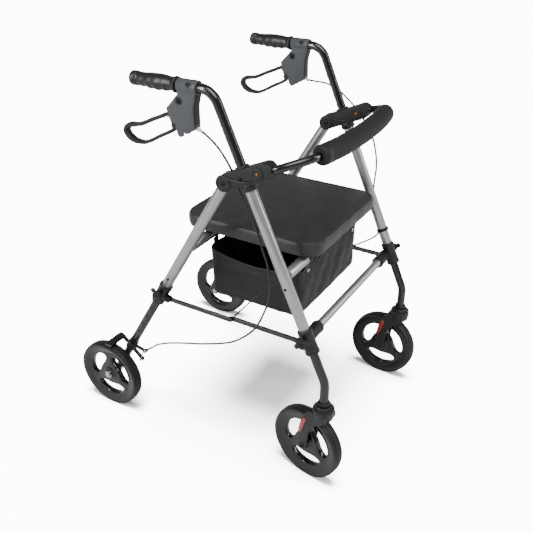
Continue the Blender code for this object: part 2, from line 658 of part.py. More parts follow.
    # folding strut, its two bars side by side, and the pull cord from its middle
    front_eye, rear_eye = (STRUT_FRONT_Y, STRUT_Z), (STRUT_REAR_Y, STRUT_Z)
    middle = ((STRUT_FRONT_Y + STRUT_REAR_Y) / 2, STRUT_Z)
    strut_half("strut_front_" + side, x - sign * STRUT_STEP, front_eye, middle,
               pivot("strut_front_axis_" + side, (x, *front_eye)))
    strut_half("strut_rear_" + side, x + sign * STRUT_STEP, rear_eye, middle,
               pivot("strut_rear_axis_" + side, (x, *rear_eye), fold))
    seat_tube = front_leg(0, SEAT_TUBE_Z)
    knot = Vector((sign * (HALF_TRACK - STRUT_STEP - STRUT_THICK / 2 - 0.0050),
                   middle[0] - 0.003, STRUT_Z + 0.003))
    tube_point = Vector((sign * (HALF_TRACK - 0.025), seat_tube.y + 0.0110, SEAT_TUBE_Z - 0.0125))
    sag = (knot + tube_point) / 2 + Vector((0, 0.004, 0.002))
    bar("pull_cord_" + side, smooth_path([knot, sag, tube_point], 0.05), 0.004, CABLE, rings=2)

    # handle post, grip, brake housing and lever
    corner = front_leg(x, GRIP_Z)
    post_bottom = front_leg(x, POST_BOTTOM)
    level = Vector((x, corner.y + 1, GRIP_Z))
    round_corner = bend(corner, post_bottom, level, POST_BEND, 5)
    handle = Vector((x, round_corner[-1].y, GRIP_Z))
    grip_start = handle + Vector((0, GRIP_SET, 0))
    grip_end = grip_start + Vector((0, GRIP_LENGTH, 0))
    slide = pivot("handle_axis_" + side, leg_top)
    hang(tube("handle_post_" + side, [post_bottom, *round_corner, grip_end - Vector((0, 0.006, 0))],
              INNER_DIA, INNER_WALL, BLACK_TUBE), slide)
    bore = INNER_RADIUS + BORE_GAP
    length = GRIP_LENGTH
    profile = [(0, length), (0.0130, length), (0.0160, length - 0.003), (0.0160, length - 0.020),
               (0.0182, length * 0.45), (0.0150, 0.012), (0.0155, 0.008), (0.0175, 0.006),
               (0.0175, 0), (bore, 0), (bore, length - 0.0050), (0, length - 0.0050)]
    lying = Matrix.Translation(grip_start) @ Matrix.Rotation(-pi / 2, 4, "X")
    hang(turned("grip_" + side, profile, lying, RUBBER, 14), slide)

    def near_handle(points):
        return [(handle.y + dy, GRIP_Z + dz) for dy, dz in points]

    housing = side_plate("brake_housing_" + side, [near_handle(HOUSING_OUTLINE)],
                         HOUSING_THICK, x, CHARCOAL)
    join(housing, rod("sleeve_" + side, handle + Vector((0, HOUSING_SET, 0)),
                      handle + Vector((0, GRIP_SET - 0.002, 0)), 0.0155))
    lever_at = Vector((x, *near_handle([LEVER_PIVOT])[0]))
    slot = arc(lever_at.yz, 0.0093, 60, 215, 6) + near_handle(LEVER_SLOT)
    cut(housing,
        rod("sleeve_bore_" + side, handle - Vector((0, 0.05, 0)), handle + Vector((0, 0.10, 0)),
            bore, sides=16),
        side_plate("lever_slot_" + side, [slot], LEVER_THICK + 0.0008, x))
    lever_half = LEVER_THICK / 2 + 0.002
    join(housing, rod("lever_pin_" + side, lever_at - across * lever_half, lever_at + across * lever_half,
                      PIN_RADIUS, sides=12))
    hang(housing, slide)
    root = arc(lever_at.yz, 0.0083, 50, 215, 5)
    lever = side_plate("brake_lever_" + side,
                       [root + near_handle(LEVER_OUTER), near_handle(LEVER_LOOP)], LEVER_THICK, x, NYLON)
    cut(lever, rod("lever_eye_" + side, lever_at - across * 0.02, lever_at + across * 0.02,
                   PIN_RADIUS + BORE_GAP, sides=12))
    hang(lever, pivot("lever_axis_" + side, lever_at, slide))

# ---- cross pieces ---------------------------------------------------------------------------
cross_at = front_leg(0, CROSS_BAR_Z) + Vector((0, CROSS_BAR_BACK, 0))
reach = Vector((HALF_TRACK - LEG_RADIUS - 0.0033, 0, 0))
tube("front_cross_bar", [cross_at - reach, cross_at + reach], CROSS_BAR_DIA, 0.0012, SILVER)
reach = Vector((HALF_TRACK - LEG_RADIUS - FIT, 0, 0))
front_tube_at, rear_tube_at = front_leg(0, SEAT_TUBE_Z), rear_leg(0, SEAT_TUBE_Z)
tube("front_seat_tube", [front_tube_at - reach, front_tube_at + reach], SEAT_TUBE_DIA, 0.0015, SILVER)
hang(tube("rear_seat_tube", [rear_tube_at - reach, rear_tube_at + reach], SEAT_TUBE_DIA, 0.0015, SILVER),
     bpy.data.objects["fold_axis_right"])

# back bar: a bowed tube that flips up on the brackets, with foam over its middle
back_hinge = Vector((HALF_TRACK, *FOLD_PIVOT)) + FORWARD * BACKREST_HINGE
rise = Vector((0, -cos(radians(BACKREST_RISE)), sin(radians(BACKREST_RISE))))
half_bar = [back_hinge - rise * 0.0035, back_hinge + rise * 0.026, back_hinge + rise * 0.045,
            back_hinge + Vector((-0.014, -0.066, 0.023)), back_hinge + Vector((-0.036, -0.087, 0.029)),
            back_hinge + Vector((-0.070, -0.101, 0.032)), back_hinge + Vector((-0.150, -0.1135, 0.032)),
            Vector((0, back_hinge.y - 0.118, back_hinge.z + 0.032))]
half_path = [half_bar[0], *smooth_path(half_bar[1:], 0.030)]
full_path = half_path + [Vector((-point.x, point.y, point.z)) for point in half_path[-2::-1]]
back_axis = pivot("backrest_axis", Vector((0, *back_hinge.yz)))
hang(tube("backrest_tube", full_path, BACKREST_DIA, BACKREST_WALL, BLACK_TUBE, rings=2), back_axis)
covered = [point for point in full_path if abs(point.x) < FOAM_HALF]
hang(tube("backrest_foam", covered, FOAM_DIA, FOAM_DIA / 2 - BACKREST_DIA / 2 - 0.0015, FOAM), back_axis)

# seat: a padded top on a board, hinged on the front seat tube and resting on the rear one
seat_axis = pivot("seat_axis", front_tube_at)


def rounded(half_width, front, rear, corner):
    """An outline with round corners."""
    spots = [((half_width - corner, rear - corner), 0), ((corner - half_width, rear - corner), 90),
             ((corner - half_width, front + corner), 180), ((half_width - corner, front + corner), 270)]
    return [point for spot, start in spots for point in arc(spot, corner, start, start + 90, 4)]


board_low = SEAT_TUBE_Z + SEAT_TUBE_DIA / 2 + SEAT_RISE
board_high = board_low + SEAT_BOARD_THICK
pad = slab("seat_pad", [rounded(SEAT_WIDTH / 2, SEAT_FRONT, SEAT_REAR, SEAT_CORNER)],
           board_high + FIT, board_high + FIT + SEAT_PAD_THICK, VINYL)
hang(pad, seat_axis)
board = slab("seat_board", [rounded(SEAT_WIDTH / 2 - 0.006, SEAT_FRONT + 0.006, SEAT_REAR - 0.006,
                                    SEAT_CORNER - 0.006)], board_low, board_high, PLYWOOD)
clip_radius = SEAT_TUBE_DIA / 2 + 0.004
for sign in SIDES.values():
    clip_x = sign * SEAT_CLIP_X
    half = Vector((SEAT_CLIP_WIDTH / 2, 0, 0))
    clip_at = Vector((clip_x, front_tube_at.y, SEAT_TUBE_Z))
    join(board, rod("seat_clip", clip_at - half, clip_at + half, clip_radius, sides=14),
         block("clip_web", clip_at - half + Vector((0.001, -0.009, 0.011)),
               clip_at + half + Vector((-0.001, 0.009, board_low + 0.003 - SEAT_TUBE_Z))),
         block("seat_rest", (clip_x - 0.012, rear_tube_at.y - 0.010,
                             SEAT_TUBE_Z + SEAT_TUBE_DIA / 2 + FIT),
               (clip_x + 0.012, rear_tube_at.y + 0.010, board_low + 0.003)))
cut(board, rod("clip_bore", front_tube_at - across * 0.16, front_tube_at + across * 0.16,
               SEAT_TUBE_DIA / 2 + BORE_GAP, sides=16))
hang(board, seat_axis)

# bag between the two seat tubes, open at the top
bag_front, bag_rear = front_tube_at.y + 0.004, rear_tube_at.y - 0.001
bag = block("bag", (-BAG_WIDTH / 2, bag_front, BAG_BOTTOM), (BAG_WIDTH / 2, bag_rear, BAG_TOP), FABRIC)
cut(bag, block("bag_inside", (BAG_WALL - BAG_WIDTH / 2, bag_front + BAG_WALL, BAG_BOTTOM + BAG_WALL),
               (BAG_WIDTH / 2 - BAG_WALL, bag_rear - BAG_WALL, BAG_TOP + 0.02)))

# brake cables, from each housing down to the stop on the rear leg
CABLE_END = [(0.2660, -0.0945, 0.3384), (0.2620, -0.0161, 0.3029), (0.2580, 0.0819, 0.2673),
             (0.2540, 0.1411, 0.2395), (0.2505, 0.1745, 0.2131), (0.2500, 0.1959, 0.1959)]
CABLES = {
    "right": [(0.2500, -0.0225, 0.8625), (0.2500, -0.0380, 0.8550), (0.2500, -0.0630, 0.8375),
              (0.2500, -0.0840, 0.8150), (0.2500, -0.1010, 0.7900), (0.2500, -0.1117, 0.7672),
              (0.2500, -0.1220, 0.7440), (0.2520, -0.1350, 0.7200), (0.2580, -0.1670, 0.6705),
              (0.2620, -0.1902, 0.6152), (0.2640, -0.2022, 0.5842), (0.2660, -0.2095, 0.5350),
              (0.2670, -0.2065, 0.4976), (0.2680, -0.1945, 0.4591), (0.2690, -0.1729, 0.4120),
              (0.2690, -0.1416, 0.3757)] + CABLE_END,
    "left": [(0.2500, -0.0225, 0.8625), (0.2540, -0.0390, 0.8600), (0.2660, -0.0739, 0.8550),
             (0.2720, -0.1060, 0.8402), (0.2730, -0.1318, 0.8220), (0.2730, -0.1566, 0.8012),
             (0.2730, -0.1812, 0.7759), (0.2720, -0.2137, 0.7264), (0.2700, -0.2285, 0.6802),
             (0.2700, -0.2325, 0.6435), (0.2685, -0.2309, 0.6086), (0.2680, -0.2320, 0.5650),
             (0.2685, -0.2470, 0.5150), (0.2690, -0.2630, 0.4750), (0.2690, -0.2480, 0.4400),
             (0.2690, -0.2080, 0.4080), (0.2690, -0.1500, 0.3720)] + CABLE_END,
}
for side, sign in SIDES.items():
    route = [Vector((sign * out, y, z)) for out, y, z in CABLES[side]]
    bar("brake_cable_" + side, smooth_path(route, 3 * CABLE_DIA), CABLE_DIA, CABLE, rings=2)
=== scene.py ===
"""A folding walking frame with four wheels, a seat, a bag and hand brakes, dressed over its fixed frame."""

import json
from math import atan2, cos, degrees, pi, radians, sin, tan

import bmesh
import bpy
from mathutils import Matrix, Vector


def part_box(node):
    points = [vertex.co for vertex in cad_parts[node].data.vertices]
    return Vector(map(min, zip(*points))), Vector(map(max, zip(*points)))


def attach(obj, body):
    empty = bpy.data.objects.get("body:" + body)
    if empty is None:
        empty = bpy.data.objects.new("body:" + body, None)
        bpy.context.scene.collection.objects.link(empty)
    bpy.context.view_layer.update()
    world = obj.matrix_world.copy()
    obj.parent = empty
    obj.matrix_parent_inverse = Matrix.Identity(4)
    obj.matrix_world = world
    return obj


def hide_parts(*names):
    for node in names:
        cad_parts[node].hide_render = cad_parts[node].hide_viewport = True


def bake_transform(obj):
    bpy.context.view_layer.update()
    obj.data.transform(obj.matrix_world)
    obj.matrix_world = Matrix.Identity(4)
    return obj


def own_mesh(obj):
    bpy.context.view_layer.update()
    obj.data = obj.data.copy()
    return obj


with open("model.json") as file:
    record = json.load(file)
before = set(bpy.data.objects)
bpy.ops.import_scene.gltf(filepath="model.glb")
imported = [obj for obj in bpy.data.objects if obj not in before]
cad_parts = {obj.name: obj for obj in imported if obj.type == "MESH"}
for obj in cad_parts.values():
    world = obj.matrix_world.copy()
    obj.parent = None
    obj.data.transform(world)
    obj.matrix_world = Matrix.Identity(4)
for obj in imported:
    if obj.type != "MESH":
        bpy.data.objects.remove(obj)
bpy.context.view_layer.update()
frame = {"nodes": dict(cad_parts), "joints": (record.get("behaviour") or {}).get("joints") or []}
joints = {joint["name"]: joint for joint in frame["joints"]}
SIDES = {"right": -1, "left": 1}
X = Vector((1, 0, 0))

# ---- camera -----------------------------------------------------------------------------------
# It looks down on the walker's front right corner from a little above head height of a sitter.
camera_at = Vector((-1.4065, -0.8777, 1.3287))
turned_by, raised_by = radians(-59.30), radians(29.33)
back = Vector((sin(turned_by) * cos(raised_by), -cos(turned_by) * cos(raised_by), sin(raised_by)))
camera = bpy.data.objects.new("camera", bpy.data.cameras.new("camera"))
bpy.context.scene.collection.objects.link(camera)
camera.data.lens = 46.29
camera.matrix_world = Matrix.Translation(camera_at) @ (-back).to_track_quat("-Z", "Y").to_matrix().to_4x4()
bpy.context.scene.camera = camera


# ---- brake cables and pull cords ----------------------------------------------------------------
# Steel inner wires in ribbed black sheaths, from each brake housing to the stop on the rear leg. Each is
# made in two stretches that meet at the side bracket.
def linear(code):
    """A hex colour as the linear red, green, blue and alpha that a shader takes."""
    shares = [int(code[k:k + 2], 16) / 255 for k in (0, 2, 4)]
    return [s / 12.92 if s <= 0.04045 else ((s + 0.055) / 1.055) ** 2.4 for s in shares] + [1.0]


def add_node(tree, kind, values={}, links={}, **settings):
    """Adds a node with its settings, its fixed inputs and what is linked into it."""
    made = tree.nodes.new(kind)
    for name, value in settings.items():
        setattr(made, name, value)
    for name, value in values.items():
        made.inputs[name].default_value = value
    for name, output in links.items():
        tree.links.new(output, made.inputs[name])
    return made


def start_material(name, colour, roughness, metallic=0.0, **more):
    """A material with its shader set, ready for its own pattern."""
    material = bpy.data.materials.new(name)
    material.use_nodes = True
    tree = material.node_tree
    shader = tree.nodes["Principled BSDF"]
    values = {"Base Color": linear(colour), "Roughness": roughness, "Metallic": metallic, **more}
    for socket, value in values.items():
        shader.inputs[socket].default_value = value
    place = add_node(tree, "ShaderNodeTexCoord").outputs["Object"]
    return material, tree, shader, place


def vary(tree, shader, pattern, dark, light, low, high):
    """Spreads a pattern from 0 to 1 over two colours and two roughnesses."""
    colours = add_node(tree, "ShaderNodeValToRGB", links={"Fac": pattern})
    for stop, at, code in zip(colours.color_ramp.elements, (0.3, 0.7), (dark, light)):
        stop.position = at
        stop.color = linear(code)
    tree.links.new(colours.outputs["Color"], shader.inputs["Base Color"])
    rough = add_node(tree, "ShaderNodeMapRange", {"To Min": low, "To Max": high}, {"Value": pattern})
    tree.links.new(rough.outputs["Result"], shader.inputs["Roughness"])


def emboss(tree, shader, height, depth, strength=1.0):
    """Raises the surface by a pattern; depth is in metres."""
    bump = add_node(tree, "ShaderNodeBump", {"Distance": depth, "Strength": strength}, {"Height": height})
    tree.links.new(bump.outputs["Normal"], shader.inputs["Normal"])


MM = 0.001                       # a pattern with one feature every n mm has a scale of 1 / (n * MM)

# extruded PVC sheath: slightly shiny, with the faint unevenness of the draw
sheath, tree, shader, place = start_material("extruded_pvc_sheath", "080808", 0.38)
draw_marks = add_node(tree, "ShaderNodeTexNoise", {"Scale": 1 / (4 * MM), "Detail": 3.0}, {"Vector": place})
vary(tree, shader, draw_marks.outputs["Fac"], "060606", "0c0c0c", 0.3, 0.5)
emboss(tree, shader, draw_marks.outputs["Fac"], 0.1 * MM)


def smooth_path(points, step):
    """Points every step along a smooth curve through the given ones."""
    points = [Vector(point) for point in points]
    padded = [2 * points[0] - points[1], *points, 2 * points[-1] - points[-2]]
    path = []
    for k in range(len(points) - 1):
        before, start, end, after = padded[k:k + 4]
        count = max(1, round((end - start).length / step))
        for n in range(count):
            t = n / count
            path.append(0.5 * (2 * start + (end - before) * t
                               + (2 * before - 5 * start + 4 * end - after) * t ** 2
                               + (3 * start - before - 3 * end + after) * t ** 3))
    return [*path, points[-1]]


def length_of(path):
    return sum((b - a).length for a, b in zip(path, path[1:]))


def swept(path, sizes, sides=24, flat=None):
    """A bar along a path. Sizes are its radii at each point, or one for all; flat gives a strap its two
    half widths instead, the first along X."""
    path = [Vector(point) for point in path]
    last = len(path) - 1
    ahead = [(path[min(k + 1, last)] - path[max(k - 1, 0)]).normalized() for k in range(last + 1)]
    if not isinstance(sizes, (list, tuple)):
        sizes = [sizes] * (last + 1)
    turn = ahead[0].to_track_quat("Z", "Y").to_matrix()
    places = []
    for k, point in enumerate(path):
        if k:
            turn = ahead[k - 1].rotation_difference(ahead[k]).to_matrix() @ turn
        if flat:
            up = ahead[k].cross(X).normalized()
            turn = Matrix((X, up, X.cross(up))).transposed()
        width, height = flat if flat else (1, 1)
        scale = Matrix.Diagonal((width * sizes[k], height * sizes[k], 1, 1))
        places.append(Matrix.Translation(point) @ turn.to_4x4() @ scale)
    bar = bmesh.new()
    ring = bmesh.ops.create_circle(bar, cap_ends=True, segments=sides, radius=1, matrix=places[0])["verts"]
    cap = ring[0].link_faces[0]
    for before, after in zip(places, places[1:]):
        made = bmesh.ops.extrude_face_region(bar, geom=[cap])["geom"]
        moved = [part for part in made if isinstance(part, bmesh.types.BMVert)]
        bmesh.ops.transform(bar, matrix=after @ before.inverted(), verts=moved)
        cap = next(part for part in made if isinstance(part, bmesh.types.BMFace))
    bmesh.ops.recalc_face_normals(bar, faces=bar.faces)
    return bar


def piece(name, shapes, material, body, *nodes, smooth=35):
    """One finished piece: its shapes in one mesh, riding on a body and standing for CAD nodes."""
    mesh = bpy.data.meshes.new(name)
    whole = bmesh.new()
    for shape in shapes:
        shape.to_mesh(mesh)
        whole.from_mesh(mesh)
        shape.free()
    whole.to_mesh(mesh)
    whole.free()
    mesh.shade_smooth()
    mesh.set_sharp_from_angle(angle=radians(smooth))
    made = bpy.data.objects.new(name, mesh)
    bpy.context.scene.collection.objects.link(made)
    mesh.materials.append(material)
    if body:
        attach(made, body)
    if nodes:
        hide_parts(*nodes)
    return made


CABLE_DIA = 0.0055
CABLE_END = [(0.2660, -0.0945, 0.3384), (0.2620, -0.0161, 0.3029), (0.2580, 0.0819, 0.2673),
             (0.2540, 0.1411, 0.2395), (0.2505, 0.1745, 0.2131), (0.2500, 0.1959, 0.1959)]
CABLES = {
    "right": [(0.2500, -0.0225, 0.8625), (0.2500, -0.0380, 0.8550), (0.2500, -0.0630, 0.8375),
              (0.2500, -0.0840, 0.8150), (0.2500, -0.1010, 0.7900), (0.2500, -0.1117, 0.7672),
              (0.2500, -0.1220, 0.7440), (0.2520, -0.1350, 0.7200), (0.2580, -0.1670, 0.6705),
              (0.2620, -0.1902, 0.6152), (0.2640, -0.2022, 0.5842), (0.2660, -0.2095, 0.5350),
              (0.2670, -0.2065, 0.4976), (0.2680, -0.1945, 0.4591), (0.2690, -0.1729, 0.4120),
              (0.2690, -0.1416, 0.3757)] + CABLE_END,
    "left": [(0.2500, -0.0225, 0.8625), (0.2540, -0.0390, 0.8600), (0.2660, -0.0739, 0.8550),
             (0.2720, -0.1060, 0.8402), (0.2730, -0.1318, 0.8220), (0.2730, -0.1566, 0.8012),
             (0.2730, -0.1812, 0.7759), (0.2720, -0.2137, 0.7264), (0.2700, -0.2285, 0.6802),
             (0.2700, -0.2325, 0.6435), (0.2685, -0.2309, 0.6086), (0.2680, -0.2320, 0.5650),
             (0.2685, -0.2470, 0.5150), (0.2690, -0.2630, 0.4750), (0.2690, -0.2480, 0.4400),
             (0.2690, -0.2080, 0.4080), (0.2690, -0.1500, 0.3720)] + CABLE_END,
}
HELD_AT = 5                      # the point of each route that the bracket holds
RIB_STEP = 0.0016
cable_lengths = {}
for side, sign in SIDES.items():
    route = [Vector((sign * out, y, z)) for out, y, z in CABLES[side]]
    whole = smooth_path(route, RIB_STEP)
    held = min(range(len(whole)), key=lambda k: (whole[k] - route[HELD_AT]).length)
    cable_lengths[side] = length_of(whole)
    stretches = {"upper": (whole[:held + 1], "handle_" + side, "front_frame", route[1], route[HELD_AT]),
                 "lower": (whole[held:], "front_frame", "rear_frame", route[9], route[-3])}
    for stretch, (path, above, below, start, end) in stretches.items():
        radii = [CABLE_DIA / 2 - (0.00016 if k % 2 else 0) for k in range(len(path))]
        cable = piece(f"brake_cable_{side}_{stretch}", [swept(path, radii, 12)], sheath, None,
                      "brake_cable_" + side)
        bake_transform(cable)

    # the flat pull cord that lifts the strut's middle when the seat is raised
    low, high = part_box("pull_cord_" + side)
    strut_at = Vector(joints["strut_front_" + side]["pos_m"])
    seat_tube_low, seat_tube_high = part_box("front_seat_tube")
    knot = Vector((sign * 0.2387, (strut_at.y + joints["strut_rear_" + side]["pos_m"][1]) / 2 - 0.003,
                   strut_at.z + 0.003))
    tied = Vector((sign * 0.225, (seat_tube_low.y + seat_tube_high.y) / 2 + 0.0110,
                   (seat_tube_low.z + seat_tube_high.z) / 2 - 0.0125))
    path = smooth_path([knot, (knot + tied) / 2 + Vector((0, 0.004, 0.002)), tied], 0.004)
    cord = piece("pull_cord_" + side, [swept(path, 0.002, 12)], sheath, "front_frame", "pull_cord_" + side)
    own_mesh(cord)


# ---- silver legs --------------------------------------------------------------------------------
# Drawn aluminium tube, 27 mm across, satin anodised. The front pair end in the side brackets; the rear
# pair turn on them. Each has a spring button low down that locks the lower leg's height.
def turned(profile, at, toward, steps=36):
    """A profile of (radius, height) spun round an axis that starts at a point and goes toward another."""
    shape = bmesh.new()
    points = [shape.verts.new((max(radius, 0), 0, height)) for radius, height in profile]
    edges = [shape.edges.new(pair) for pair in zip(points, points[1:])]
    bmesh.ops.spin(shape, geom=points + edges, axis=(0, 0, 1), cent=(0, 0, 0), dvec=(0, 0, 0),
                   angle=2 * pi, steps=steps, use_merge=True, use_duplicate=False)
    bmesh.ops.remove_doubles(shape, verts=shape.verts, dist=1e-6)
    bmesh.ops.recalc_face_normals(shape, faces=shape.faces)
    placed = Matrix.Translation(at) @ Vector(toward).to_track_quat("Z", "Y").to_matrix().to_4x4()
    bmesh.ops.transform(shape, matrix=placed, verts=shape.verts)
    return shape


def pin(start, end, radius, round_off=0.0008, steps=32):
    """A solid round pin or boss with eased ends."""
    start, end = Vector(start), Vector(end)
    tall = (end - start).length
    ease = min(round_off, radius * 0.6, tall * 0.45)
    profile = [(0, 0), (radius - ease, 0), (radius - ease * 0.3, ease * 0.3), (radius, ease),
               (radius, tall - ease), (radius - ease * 0.3, tall - ease * 0.3), (radius - ease, tall), (0, tall)]
    return turned(profile, start, end - start, steps)


# satin anodised aluminium: fine lines along the draw, 0.3 mm apart, and soft cloudy patches
silver, tree, shader, place = start_material("satin_anodised_aluminium", "a9acad", 0.32, 0.9)
stretch = add_node(tree, "ShaderNodeMapping", {"Scale": (1, 0.05, 0.05)}, {"Vector": place})
lines = add_node(tree, "ShaderNodeTexNoise", {"Scale": 1 / (0.8 * MM), "Detail": 4.0},
                 {"Vector": stretch.outputs["Vector"]})
clouds = add_node(tree, "ShaderNodeTexNoise", {"Scale": 1 / (60 * MM), "Detail": 2.0}, {"Vector": place})
both = add_node(tree, "ShaderNodeMath", {1: 0.5}, {0: lines.outputs["Fac"]}, operation="MULTIPLY")
both = add_node(tree, "ShaderNodeMath", {1: 0.5, }, {0: clouds.outputs["Fac"], 2: both.outputs["Value"]},
                operation="MULTIPLY_ADD")
vary(tree, shader, both.outputs["Value"], "a0a3a4", "b3b5b6", 0.27, 0.38)
emboss(tree, shader, lines.outputs["Fac"], 0.02 * MM)

# zinc plated steel for buttons, bolts and axles: bright, with a faint crystalline mottle
zinc, tree, shader, place = start_material("bright_zinc_plate", "c4c5c6", 0.28, 1.0)
spangle = add_node(tree, "ShaderNodeTexVoronoi", {"Scale": 1 / (1.5 * MM)}, {"Vector": place})
vary(tree, shader, spangle.outputs["Distance"], "b2b3b5", "cfd0d0", 0.22, 0.36)

# black oxide steel for the bolts: dark, with a thin oily shine
oxide, tree, shader, place = start_material("black_oxide_steel", "17181a", 0.32, 0.6)
oil = add_node(tree, "ShaderNodeTexNoise", {"Scale": 1 / (2 * MM)}, {"Vector": place})
vary(tree, shader, oil.outputs["Fac"], "121315", "1f2022", 0.26, 0.4)

LEG_RADIUS, INNER_RADIUS = 0.0135, 0.011
up_front = Vector(joints["front_leg_height_right"]["axis"])
up_rear = Vector(joints["rear_leg_height_right"]["axis"])
fold_at = Vector(joints["fold"]["pos_m"])


def on_leg(which, side, z):
    """A point on a leg's axis at a height; the wing knobs sit on the same axis."""
    knob = Vector(joints[f"{which}_knob_turn_{side}"]["pos_m"])
    up = up_front if which == "front" else up_rear
    return knob + up * ((z - knob.z) / up.z)


LEG_TOPS = {"front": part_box("front_leg_right")[1].z - 0.006, "rear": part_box("rear_leg_right")[1].z - 0.007}
LEG_FOOT = 0.421
BUTTON_Z = {"front": 0.535, "rear": 0.462}
for side, sign in SIDES.items():
    for which, body, up in (("front", "front_frame", up_front), ("rear", "rear_frame", up_rear)):
        foot, top = on_leg(which, side, LEG_FOOT), on_leg(which, side, LEG_TOPS[which])
        piece(f"{which}_leg_{side}", [pin(foot, top, LEG_RADIUS, 0.001, 48)], silver, body,
              f"{which}_leg_{side}")
        out = X * sign
        button = on_leg(which, side, BUTTON_Z[which])
        piece(f"{which}_button_{side}",
              [turned([(0, 0.0026), (0.0022, 0.0022), (0.0034, 0.0008), (0.0036, -0.002), (0, -0.002)],
                      button + out * LEG_RADIUS, out, 24)], oxide, body)
clip = [(LEG_RADIUS + 0.0003, 0), (LEG_RADIUS + 0.0028, 0.0006), (LEG_RADIUS + 0.0034, 0.0040),
        (LEG_RADIUS + 0.0028, 0.0074), (LEG_RADIUS + 0.0003, 0.0080), (LEG_RADIUS + 0.0003, 0)]
piece("leg_clip_left", [turned(clip, on_leg("front", "left", 0.472), up_front, 40)], oxide, "front_frame")


# ---- black tubes: handle posts, lower legs --------------------------------------------------------
# 22 mm steel tube, gloss powder coated, sliding in the silver legs. The posts bend back to the grips;
# the front lower legs bend upright over the casters. Rows of height holes show on them.
def bend(corner, before, after, radius, steps):
    """Points of an arc that rounds the corner between two straight runs."""
    inward, onward = (before - corner).normalized(), (after - corner).normalized()
    half = inward.angle(onward) / 2
    centre = corner + (inward + onward).normalized() * radius / sin(half)
    start, end = corner + inward * radius / tan(half), corner + onward * radius / tan(half)
    turn = (start - centre).angle(end - centre)
    axis = (start - centre).cross(end - centre).normalized()
    return [centre + Matrix.Rotation(turn * k / steps, 3, axis) @ (start - centre) for k in range(steps + 1)]


# gloss black powder coat: orange peel about 1.5 mm across under a clear shine
powder, tree, shader, place = start_material("gloss_black_powder_coat", "070707", 0.2,
                                             **{"Coat Weight": 0.3, "Coat Roughness": 0.08})
peel = add_node(tree, "ShaderNodeTexNoise", {"Scale": 1 / (2.5 * MM), "Detail": 2.0}, {"Vector": place})
vary(tree, shader, peel.outputs["Fac"], "050505", "090909", 0.14, 0.24)
emboss(tree, shader, peel.outputs["Fac"], 0.06 * MM)

# the inside of a hole: a near-black disc set in its place, painted with the shade inside the hollow tube
hole_shade_paint, tree, shader, place = start_material("painted_hole_shade", "0b0b0b", 0.8)
hole_shade_noise = add_node(tree, "ShaderNodeTexNoise", {"Scale": 1 / (1 * MM)}, {"Vector": place})
vary(tree, shader, hole_shade_noise.outputs["Fac"], "070707", "101010", 0.7, 0.9)


def hole_mark(at, out, radius):
    """A drilled hole's rolled lip round a disc painted with the shade inside the tube."""
    return [turned([(radius * 1.25, -0.0006), (radius * 1.2, 0.0003), (radius, 0.0004), (radius * 0.9, -0.0006)],
                   at, out, 20)], [pin(at - out * 0.002, at + out * 0.00005, radius * 0.95, 0.0001, 20)]


GRIP_Z = (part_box("grip_right")[0].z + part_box("grip_right")[1].z) / 2
handle_y = {}
for side, sign in SIDES.items():
    corner = on_leg("front", side, GRIP_Z)
    bottom = on_leg("front", side, 0.660)
    arc_points = bend(corner, bottom, corner + Vector((0, 1, 0)), 0.045, 14)
    handle_y[side] = arc_points[-1].y
    end = Vector((corner.x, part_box("grip_" + side)[1].y - 0.006, GRIP_Z))
    piece("handle_post_" + side, [swept([bottom, *arc_points, end], INNER_RADIUS, 40)], powder,
          "handle_" + side, "handle_post_" + side)
    behind = Vector((0, cos(radians(23.95)), -sin(radians(23.95))))
    # each hole's floor is a disc painted with the shade inside the tube
    lips, floors = [], []
    for z in (0.885, 0.860, 0.835, 0.810):
        lip, floor = hole_mark(on_leg("front", side, z) + behind * INNER_RADIUS, behind, 0.0036)
        lips += lip
        floors += floor
    piece("post_hole_lips_" + side, lips, powder, "handle_" + side)
    piece("post_hole_floors_" + side, floors, hole_shade_paint, "handle_" + side)

    stem_y = joints["caster_swivel_" + side]["pos_m"][1]
    crown_top = joints["caster_swivel_" + side]["pos_m"][2]
    knob = Vector(joints["front_knob_turn_" + side]["pos_m"])
    corner = knob + up_front * ((stem_y - knob.y) / up_front.y)
    foot = Vector((corner.x, stem_y, crown_top + 0.0012))
    bottom = on_leg("front", side, 0.520)
    piece("front_lower_leg_" + side,
          [swept([bottom, *bend(corner, bottom, foot, 0.055, 12), foot], INNER_RADIUS, 40)], powder,
          "front_lower_" + side, "front_lower_leg_" + side)
    axle_z = joints["rear_wheel_roll_" + side]["pos_m"][2]
    axle_at = on_leg("rear", side, axle_z)
    piece("rear_lower_leg_" + side,
          [pin(on_leg("rear", side, 0.500), axle_at - up_rear * 0.014, INNER_RADIUS, 0.0015, 40)], powder,
          "rear_lower_" + side, "rear_lower_leg_" + side)
    for which, body, heights in (("rear", "rear_lower_", (0.355, 0.325, 0.295, 0.265)),):
        # each hole's floor is a disc painted with the shade inside the tube
        lips, floors = [], []
        for z in heights:
            lip, floor = hole_mark(on_leg(which, side, z) + X * sign * INNER_RADIUS, X * sign, 0.0034)
            lips += lip
            floors += floor
        piece(f"{which}_height_lips_{side}", lips, powder, body + side)
        piece(f"{which}_height_floors_{side}", floors, hole_shade_paint, body + side)


# ---- side brackets ----------------------------------------------------------------------------------
# Two moulded nylon shells screwed together round the legs, the post and the back bar's hinge. The rim
# stands proud of the side face, and a zinc bolt and a brass rivet go through.
def arc(centre, radius, start, end, steps):
    """Points of an arc in a plane, from one angle in degrees to another."""
    angles = [radians(start + (end - start) * k / steps) for k in range(steps + 1)]
    return [(centre[0] + radius * cos(a), centre[1] + radius * sin(a)) for a in angles]


def capsule(start, end, radius, steps=14):
    """An outline with round ends about two centres."""
    along = degrees(atan2(end[1] - start[1], end[0] - start[0]))
    return (arc(start, radius, along + 90, along + 270, steps)
            + arc(end, radius, along - 90, along + 90, steps))


def side_place(x):
    """Stands a flat outline of y and z upright, its middle at x."""
    return Matrix(((0, 0, 1, x), (1, 0, 0, 0), (0, 1, 0, 0), (0, 0, 0, 1)))


